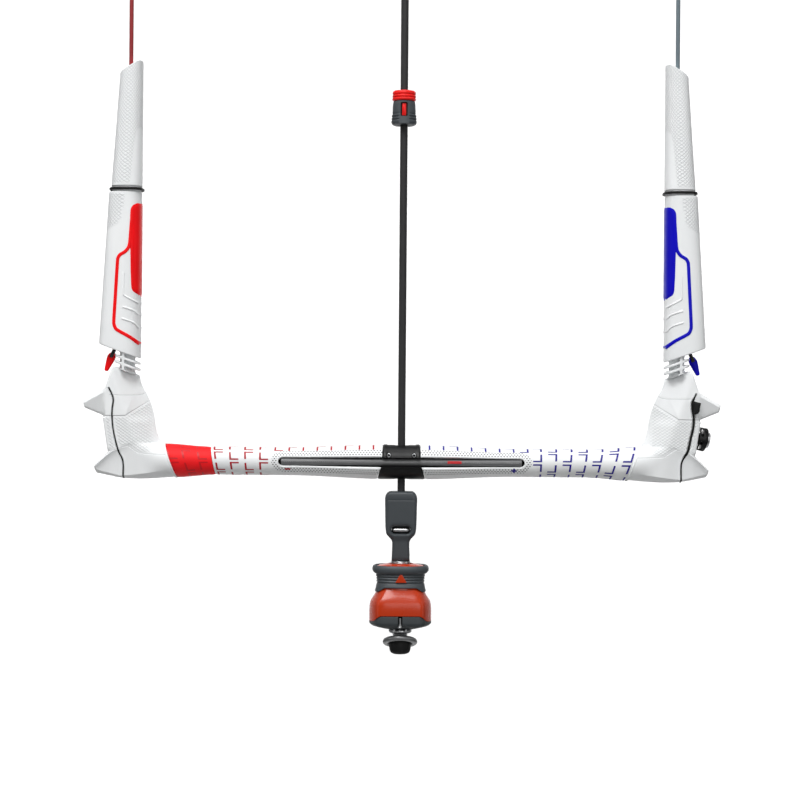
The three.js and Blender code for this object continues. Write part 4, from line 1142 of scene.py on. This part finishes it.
def neck(name, side):
    """The moulded neck between bar end and float: two sloping fins each side of a slim spine, round a core."""
    right = [(223.6, -7.3), (223.6, -6.9), (222.2, -6.5), (222.2, -3.4), (228.6, -3.4), (228.6, -1.45), (222.2, -1.45),
             (222.2, 1.45), (228.3, 1.45), (228.3, 3.2), (222.2, 3.4), (222.2, 6.5), (223.6, 6.9), (223.6, 7.3)]
    left = [(2 * 221.25 - x if x < 225 else 209.8, w) for x, w in right[::-1]]
    radii = [0, 0.3, 0.6, 1.2, 0.8, 0.8, 1.2, 1.2, 0.8, 0.8, 1.2, 0.6, 0.3, 0]
    flat = rounded(right + left, radii + radii[::-1], 4)
    outline = np.column_stack([flat[:, 0], NECK_Z + flat[:, 1] + FLOAT_SLOPE * (flat[:, 0] - NECK_X)])

    def depth(p, edge):
        u = np.abs(p[:, 0] - NECK_X) / (NECK_HALF + 0.3)
        return 13.6 * (1 - np.minimum(u, 0.985) ** 2.8) ** (1 / 2.8)

    def tilted(verts):
        return verts * [1, 1.35, 1] + [NECK_X, 0, NECK_Z] + FLOAT_SLOPE * verts[:, :1] * [0, 0, 1]

    fins = plate(f"{name}_neck_fins", outline, 0, 0.5, WHITE, None, depth, spacing=1.0, side=side, crease=50,
                 slot="white_foam")
    core = lathe(f"{name}_neck_core", [(0, -7.6), (7.4, -7.6), (6.1, -5.6), (6.0, 5.6), (7.4, 7.6), (0, 7.6)], 48,
                 WHITE, None, (f"{name}_neck",), "white_foam", 1.2, side=side, crease=50, place=tilted)
    for piece in (fins, core):
        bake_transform(piece)


# ---- Pull tabs ----
def toggle(name, side):
    x0, _, z0 = joint(f"{name}_toggle_swing")[1]
    c, s = math.cos(math.radians(21)), math.sin(math.radians(21))
    body = f"{name}_toggle"

    def hang(verts):
        v = np.asarray(verts, float)
        return np.stack([abs(x0) + v[:, 0] * c - v[:, 2] * s, v[:, 1], z0 + v[:, 0] * s + v[:, 2] * c], 1)

    outline = rounded([(-2.2, -1.6), (2.2, -2.2), (3.6, -5.4), (2.9, -10), (1.4, -17.4), (-1.2, -17.4), (-2.6, -10),
                       (-3.4, -5.2)], [0.8, 0.8, 1.6, 2, 1.2, 1.2, 2, 1.6])

    def thickness(p, edge):
        return 2.3 - 0.32 * np.abs(p[:, 0] - 0.2) + 0.2 * smooth((-5 - p[:, 1]) / 4)

    plate(f"{name}_pull_tab", outline, 0, 0.8, PRINT[name], body, thickness, spacing=0.9, side=side, place=hang,
          replaces=(f"{name}_toggle",), slot=PRINT_SLOT[name])
    path = hang(spline([(0, 0, 2.4), (0.1, 0, 0.4), (0.1, -0.9, -1.8), (0.1, -1.9, -3.6), (0.1, -1.6, -5.6)], 5))
    cord(f"{name}_pull_cord", path, 1.5, 14, BLACK_CORD, body, (f"{name}_toggle_cord",), "black_line", side)


for build in (neck, toggle):
    for name, side in SIDES.items():
        build(name, side)

# ---- Line stopper ----
Z0, Z1 = cad("stopper_body")[0][2], cad("stopper_body")[1][2] - 1.2
ribs = [(3.5, Z0 + 0.5), (8.2, Z0), (9.4, Z0 + 0.6), (10.0, Z0 + 1.8), (10.2, Z0 + 3.0), (10.0, Z0 + 3.5),
        (9.3, Z0 + 3.9), (9.9, Z0 + 4.4), (10.1, Z0 + 5.3), (9.9, Z0 + 5.8), (9.2, Z0 + 6.2), (9.7, Z0 + 6.7),
        (9.9, Z0 + 7.6), (9.7, Z0 + 8.1), (9.0, Z0 + 8.5), (9.3, Z0 + 9.1), (9.3, Z0 + 10.5), (9.0, Z1 - 2.5),
        (8.7, Z1 - 0.6), (8.2, Z1), (7.7, Z1), (7.7, Z0 + 4), (3.5, Z0 + 3)]


def side_ribs(verts):
    """Fades the turned ribs out at the front and back, where the real body is smooth."""
    v = np.array(verts)
    r = np.hypot(v[:, 0], v[:, 1])
    plain = np.interp(v[:, 2], [Z0 + 1, Z0 + 5, Z0 + 9, Z1], [10.1, 9.7, 9.3, 8.7])
    face = smooth((0.5 - np.abs(v[:, 0]) / np.maximum(r, 1e-6)) / 0.12) * (r > 8.6)
    new = lerp(r, np.minimum(plain, r + 0.9), face)
    v[:, :2] *= (new / np.maximum(r, 1e-6))[:, None]
    return v


obj = lathe("stopper_housing", ribs, 96, GREY_RUBBER, "stopper", ("stopper_body",), "grey_plastic", wrap=True,
            crease=32, place=side_ribs)
carve(obj, prism(symmetric([(2.8, Z0 + 6.2), (2.8, Z1 - 1.5)], 1.2), -14, -4, "y"))
# Painted shade: a black sheet in the window, round the red tab.
plate("stopper_window_back", symmetric([(2.7, Z0 + 6.3), (2.7, Z1 - 1.6)], 1.1), 0.04, 0.02, BLACK_CORE,
      "stopper_collar", spacing=1.5, y=-6.97, slot="grey_plastic")
TOP = cad("stopper_collar")[1][2] - 1.5
collar = [(3.6, Z0 + 7), (6.9, Z0 + 7), (6.9, Z1 + 0.3), (8.6, Z1 + 0.3), (9.3, Z1 + 0.9), (9.5, Z1 + 1.9),
          (9.3, Z1 + 2.4), (8.7, Z1 + 2.7), (9.3, Z1 + 3.1), (9.5, Z1 + 4.1), (9.3, Z1 + 4.6), (8.6, Z1 + 4.95),
          (9.2, Z1 + 5.4), (9.4, Z1 + 6.6), (9.1, TOP - 0.6), (8.4, TOP), (4.2, TOP), (3.6, TOP - 0.6)]
tab = [symmetric([(w, Z0 + 6.9 + d), (w, Z1 - 2.2 - d)], 0.5) for w, d in ((1.6, 0), (1.6, 0), (1.4, 0.2))]
tongue = rings([np.insert(o, 1, y, axis=1) for o, y in zip(tab, (-6.0, -7.3, -7.5))])
add("stopper_ring", *merged(turned(collar, 72, wrap=True), tongue), RED_COLLAR, "stopper_collar",
    ("stopper_collar",), "red_plastic", crease=45)

# ---- Swivel head ----
head_outline = symmetric([(7.3, -78.9), (6.9, -68), (6.8, -62.6), (11.6, -57.4), (12.4, -52), (12.85, -28.3)],
                         [0.6, 2, 2.6, 1.6, 4, 0.4])
window = stadium(7.5, 2.8, 12, 0, -54)


def head_depth(p, edge):
    return 8.5 - 2.1 * smooth((-56 - p[:, 1]) / 7) - 0.4 * (1 - smooth(polyline_distance(p, window, True)))


plate("head_shell", head_outline, 8.5, 2.6, GREY_SHELL, "swivel_head", head_depth, holes=[window], spacing=1.6,
      replaces=("head_body",), slot="grey_plastic", crease=40)
# Painted shade: a black block that fills the head's window behind the pin.
plate("head_window_back", stadium(7.3, 2.6, 8, 0, -54), 6.2, 0.3, BLACK_CORE, "swivel_head", spacing=1.5, y=0.9,
      slot="grey_plastic")
cap_outline = symmetric([(12.85, -31.8), (12.6, -26.5), (9.8, -23.3)], [0.4, 2.2, 2.2])
obj = plate("head_lid", cap_outline, 8.5, 2.4, GREY_SHELL, "swivel_head", spacing=1.6, replaces=("head_cap",),
            slot="grey_plastic", crease=40)
carve(obj, prism(stadium(3.3, 3.299, 16), -40, -10))
along = np.linspace(-6.6, 6.6, 24)
cord("head_cross_pin", [(x, -6.0, -54) for x in along], 1.5 * (1 - (along / 6.7) ** 8) ** 0.5, 24, STEEL,
     "swivel_head", ("head_pin",), "steel")
lathe("swivel_rings", [(4.4, -81), (7.7, -81), (8.0, -80.5), (7.8, -80.2), (8.0, -79.8), (7.7, -79), (4.4, -79)], 48,
      STEEL, "swivel_head", ("swivel_washer",), "steel", 0.3, True, crease=28)

# ---- Quick release ----
RELEASE_DEPTH = 0.74  # the release's depth as a share of its width


shell = [(25.2, -124.6), (25.2, -118), (24.8, -113), (24.0, -110.2), (21.2, -106), (19.2, -102.4),
         (17.6, -99.4), (17.6, -90), (18.6, -86), (19.3, -83.4), (17.2, -82.3), (13, -81.4), (9.9, -80.9),
         (9.7, -84.6), (12.4, -86.4), (12.4, -116.8), (22, -119.6), (22.8, -124.4)]


def shell_lift(x, z):
    up = 3.4 * (1 - smooth((np.abs(x) - 15) / 7)) - 1.8 * smooth((np.abs(x) - 17) / 7)
    return up * smooth((-119 - z) / 5) * (z < -119)


lathe("release_shell", shell, 120, RED_SHELL, "release_handle", ("release_handle",), "red_plastic", wrap=True,
      crease=22, squash=RELEASE_DEPTH, power=2.6, lift=shell_lift, facet=lambda z: float(smooth((-100 - z) / 7)))

grip = [(19.5, -82.4), (20.8, -82.1), (22.0, -82.9), (22.6, -84.6), (22.4, -86.4), (21.4, -87.9), (20.0, -88.8),
        (19.0, -89.2), (19.5, -89.8), (19.7, -90.4), (19.4, -91.0), (18.6, -91.4), (19.1, -92.0), (19.4, -92.6),
        (19.1, -93.2), (18.4, -93.6), (18.9, -94.2), (19.3, -94.8), (19.0, -95.4), (18.4, -95.8), (19.0, -96.4),
        (19.4, -97.0), (19.8, -98.0), (20.4, -98.9), (20.3, -99.5), (17.9, -99.0), (17.8, -90), (19, -86),
        (19.4, -83.4)]


def grip_lift(x, z):
    return -3.4 * smooth((np.abs(x) - 12) / 6.5) * smooth((-95.9 - z) / 3)


lathe("release_grip", grip, 120, GREY_RUBBER, "release_handle", ("handle_grip",), "grey_plastic", wrap=True,
      crease=40, squash=RELEASE_DEPTH, power=2.5, lift=grip_lift)
triangle = rounded([(-4.2, -95.2), (5.0, -95.2), (1.2, -88.7), (-0.4, -88.7)], 0.8)
plate("release_arrow", triangle, 1.0, 0.3, RED_SHELL, "release_handle", spacing=1.2, y=-14.0, slot="red_plastic")

foot = [(0.5, -124.4), (22, -124.4), (24.9, -125.2), (25.3, -127.0), (25.0, -128.6), (23.2, -130.2),
        (14.2, -132.4), (12.0, -132.6), (0.5, -132.6)]


def foot_lift(x, z):
    up = 3.4 * (1 - smooth((np.abs(x) - 15) / 7)) - 1.2 * smooth((np.abs(x) - 17) / 7)
    return up * (z > -126)


obj = lathe("release_foot", foot, 120, DARK_SHELL, "quick_release", ("release_base",), "grey_plastic", 0.4, crease=30,
            squash=RELEASE_DEPTH, power=2.6, lift=foot_lift, facet=lambda z: 1.0)
key = symmetric([(1.9, -131.0), (1.7, -121.0)], 0.4)
carve(obj, prism(key, -24, -15.6, "y"), turned([(0.01, -140), (3.9, -140), (3.9, -118), (0.01, -118)], 24))
lathe("release_tongue", [(0, -130.4), (2.3, -130.4), (1.7, -129.4), (1.25, -127.4), (1.0, -122.8), (0, -122.6)], 24,
      DULL_STEEL, "quick_release", ("latch_tongue",), "steel", 0.3, place=lambda verts: verts + [0, -16.9, 0])
# Painted shade: a black sheet at the back of the key slot, behind the steel tongue.
plate("release_key_back", symmetric([(1.8, -130.8), (1.6, -121.6)], 0.4), 0.2, 0.1, BLACK_CORE, "quick_release",
      spacing=1.0, y=-15.5, slot="grey_plastic")
paint(STEEL, "swivel_shaft", "release_barrel", "release_spring", "line_bushing")

stud = [(0, -112), (3.5, -112), (3.5, -132.9), (7.6, -132.9), (9.1, -133.8), (9.3, -135.0), (8.7, -136.2),
        (6.6, -136.7), (6.2, -137.2), (5.6, -139.0), (3.4, -139.6), (1.9, -140.4), (1.8, -141.9), (0, -142)]
obj = lathe("release_stud", stud, 64, STEEL, "quick_release", ("loop_stud",), "steel", 0.3, crease=28)
carve(obj, *posts(10, PI / 10, 9.4, -134.6, -132.2, 2.4, 2.8))
low, high = cad("safety_ball")
ball = [(r, low[2] + up) for r, up in ((0, 0), (5.0, 0), (6.9, 0.7), (8.0, 2.0), (8.5, 3.8), (8.7, 6))]
ball += [(r, high[2] - down) for r, down in ((8.6, 1.6), (8.3, 0.6), (7.6, 0), (2.6, 0), (2.2, 0.8), (0, 0.8))]
lathe("end_ball", ball, 64, BLACK_RUBBER, "quick_release", ("safety_ball",), "black_rubber", 0.4, crease=40)
cord("safety_cord", [(0, 0, z) for z in np.linspace(-142.6, -114, 12)], 1.2, 12, RED_CORD, "quick_release",
     ("safety_line",), "red_line")
low, high = cad("leash_ring")
RING = 11.6
tilt = math.asin(min(1, ((high[2] - low[2]) / 2 - 2) / RING))
ring = [(RING * math.cos(t), (low[1] + high[1]) / 2 + RING * math.sin(t) * math.cos(tilt),
         (low[2] + high[2]) / 2 + 0.3 - RING * math.sin(t) * math.sin(tilt)) for t in np.arange(96) * PI / 48]
cord("leash_loop", ring, 2.3, 24, DULL_STEEL, "leash_ring", ("leash_ring",), "steel", closed=True)


# ---- Studio ----
def sweep():
    """A pale floor well below the part that curves up into a backdrop."""
    m = Nodes("studio_white", (0.6, 0.6, 0.6), 0.9)
    m.tint(m.ramp(m.noise(1.5), 0.4, 0.8), [0.591] * 3)
    bend = [(1.1 + 1.9 * math.sin(t), -0.1 - 1.9 * math.cos(t)) for t in np.linspace(0, PI / 2, 14)]
    profile = [(-3.5, -2.0), *bend, (3.0, 2.6)]
    verts = [(x, y, z) for x in (-3, 3) for y, z in profile]
    n = len(profile)
    faces = [(i, i + 1, n + i + 1, n + i) for i in range(n - 1)]
    mesh = bpy.data.meshes.new("studio_floor")
    mesh.from_pydata(verts, [], faces)
    mesh.shade_smooth()
    mesh.materials.append(m.material)
    obj = bpy.data.objects.new("studio_floor", mesh)
    bpy.context.scene.collection.objects.link(obj)


def light(name, place, aim, size, power):
    data = bpy.data.lights.new(name, "AREA")
    data.shape = "RECTANGLE"
    data.size, data.size_y = size
    data.energy = power
    obj = bpy.data.objects.new(name, data)
    obj.location = place
    obj.rotation_euler = (Vector(aim) - Vector(place)).to_track_quat("-Z", "Y").to_euler()
    bpy.context.scene.collection.objects.link(obj)


sweep()
middle = (0, 0, BAR + 0.08)
light("key", (-0.5, -1.5, 2.2), middle, (1.5, 1.0), 50)
light("fill", (0.5, -2.3, 0.75), middle, (1.2, 1.0), 9.5)
light("top", (0.0, -0.1, 2.5), middle, (2.2, 1.0), 17)
for name, side in SIDES.items():
    light(f"side_{name}", (1.5 * side, -0.5, 0.5), middle, (0.5, 1.6), 2.2)
    light(f"backdrop_{name}", (1.4 * side, 1.6, 0.5), (-0.2 * side, 3.0, 0.2), (0.8, 1.8), 44)
world = bpy.data.worlds.new("studio")
world.use_nodes = True
tree = world.node_tree
height = tree.nodes.new("ShaderNodeSeparateXYZ")
tree.links.new(tree.nodes.new("ShaderNodeTexCoord").outputs["Generated"], height.inputs[0])
shade = tree.nodes.new("ShaderNodeMapRange")
for key, value in (("From Min", -0.4), ("From Max", 0.5), ("To Min", 0.01), ("To Max", 0.35)):
    shade.inputs[key].default_value = value
tree.links.new(height.outputs["Z"], shade.inputs["Value"])
tree.links.new(shade.outputs["Result"], tree.nodes["Background"].inputs["Strength"])
tree.nodes["Background"].inputs["Color"].default_value = (1, 1, 1, 1)
bpy.context.scene.world = world
bpy.context.scene.view_settings.view_transform = "Standard"
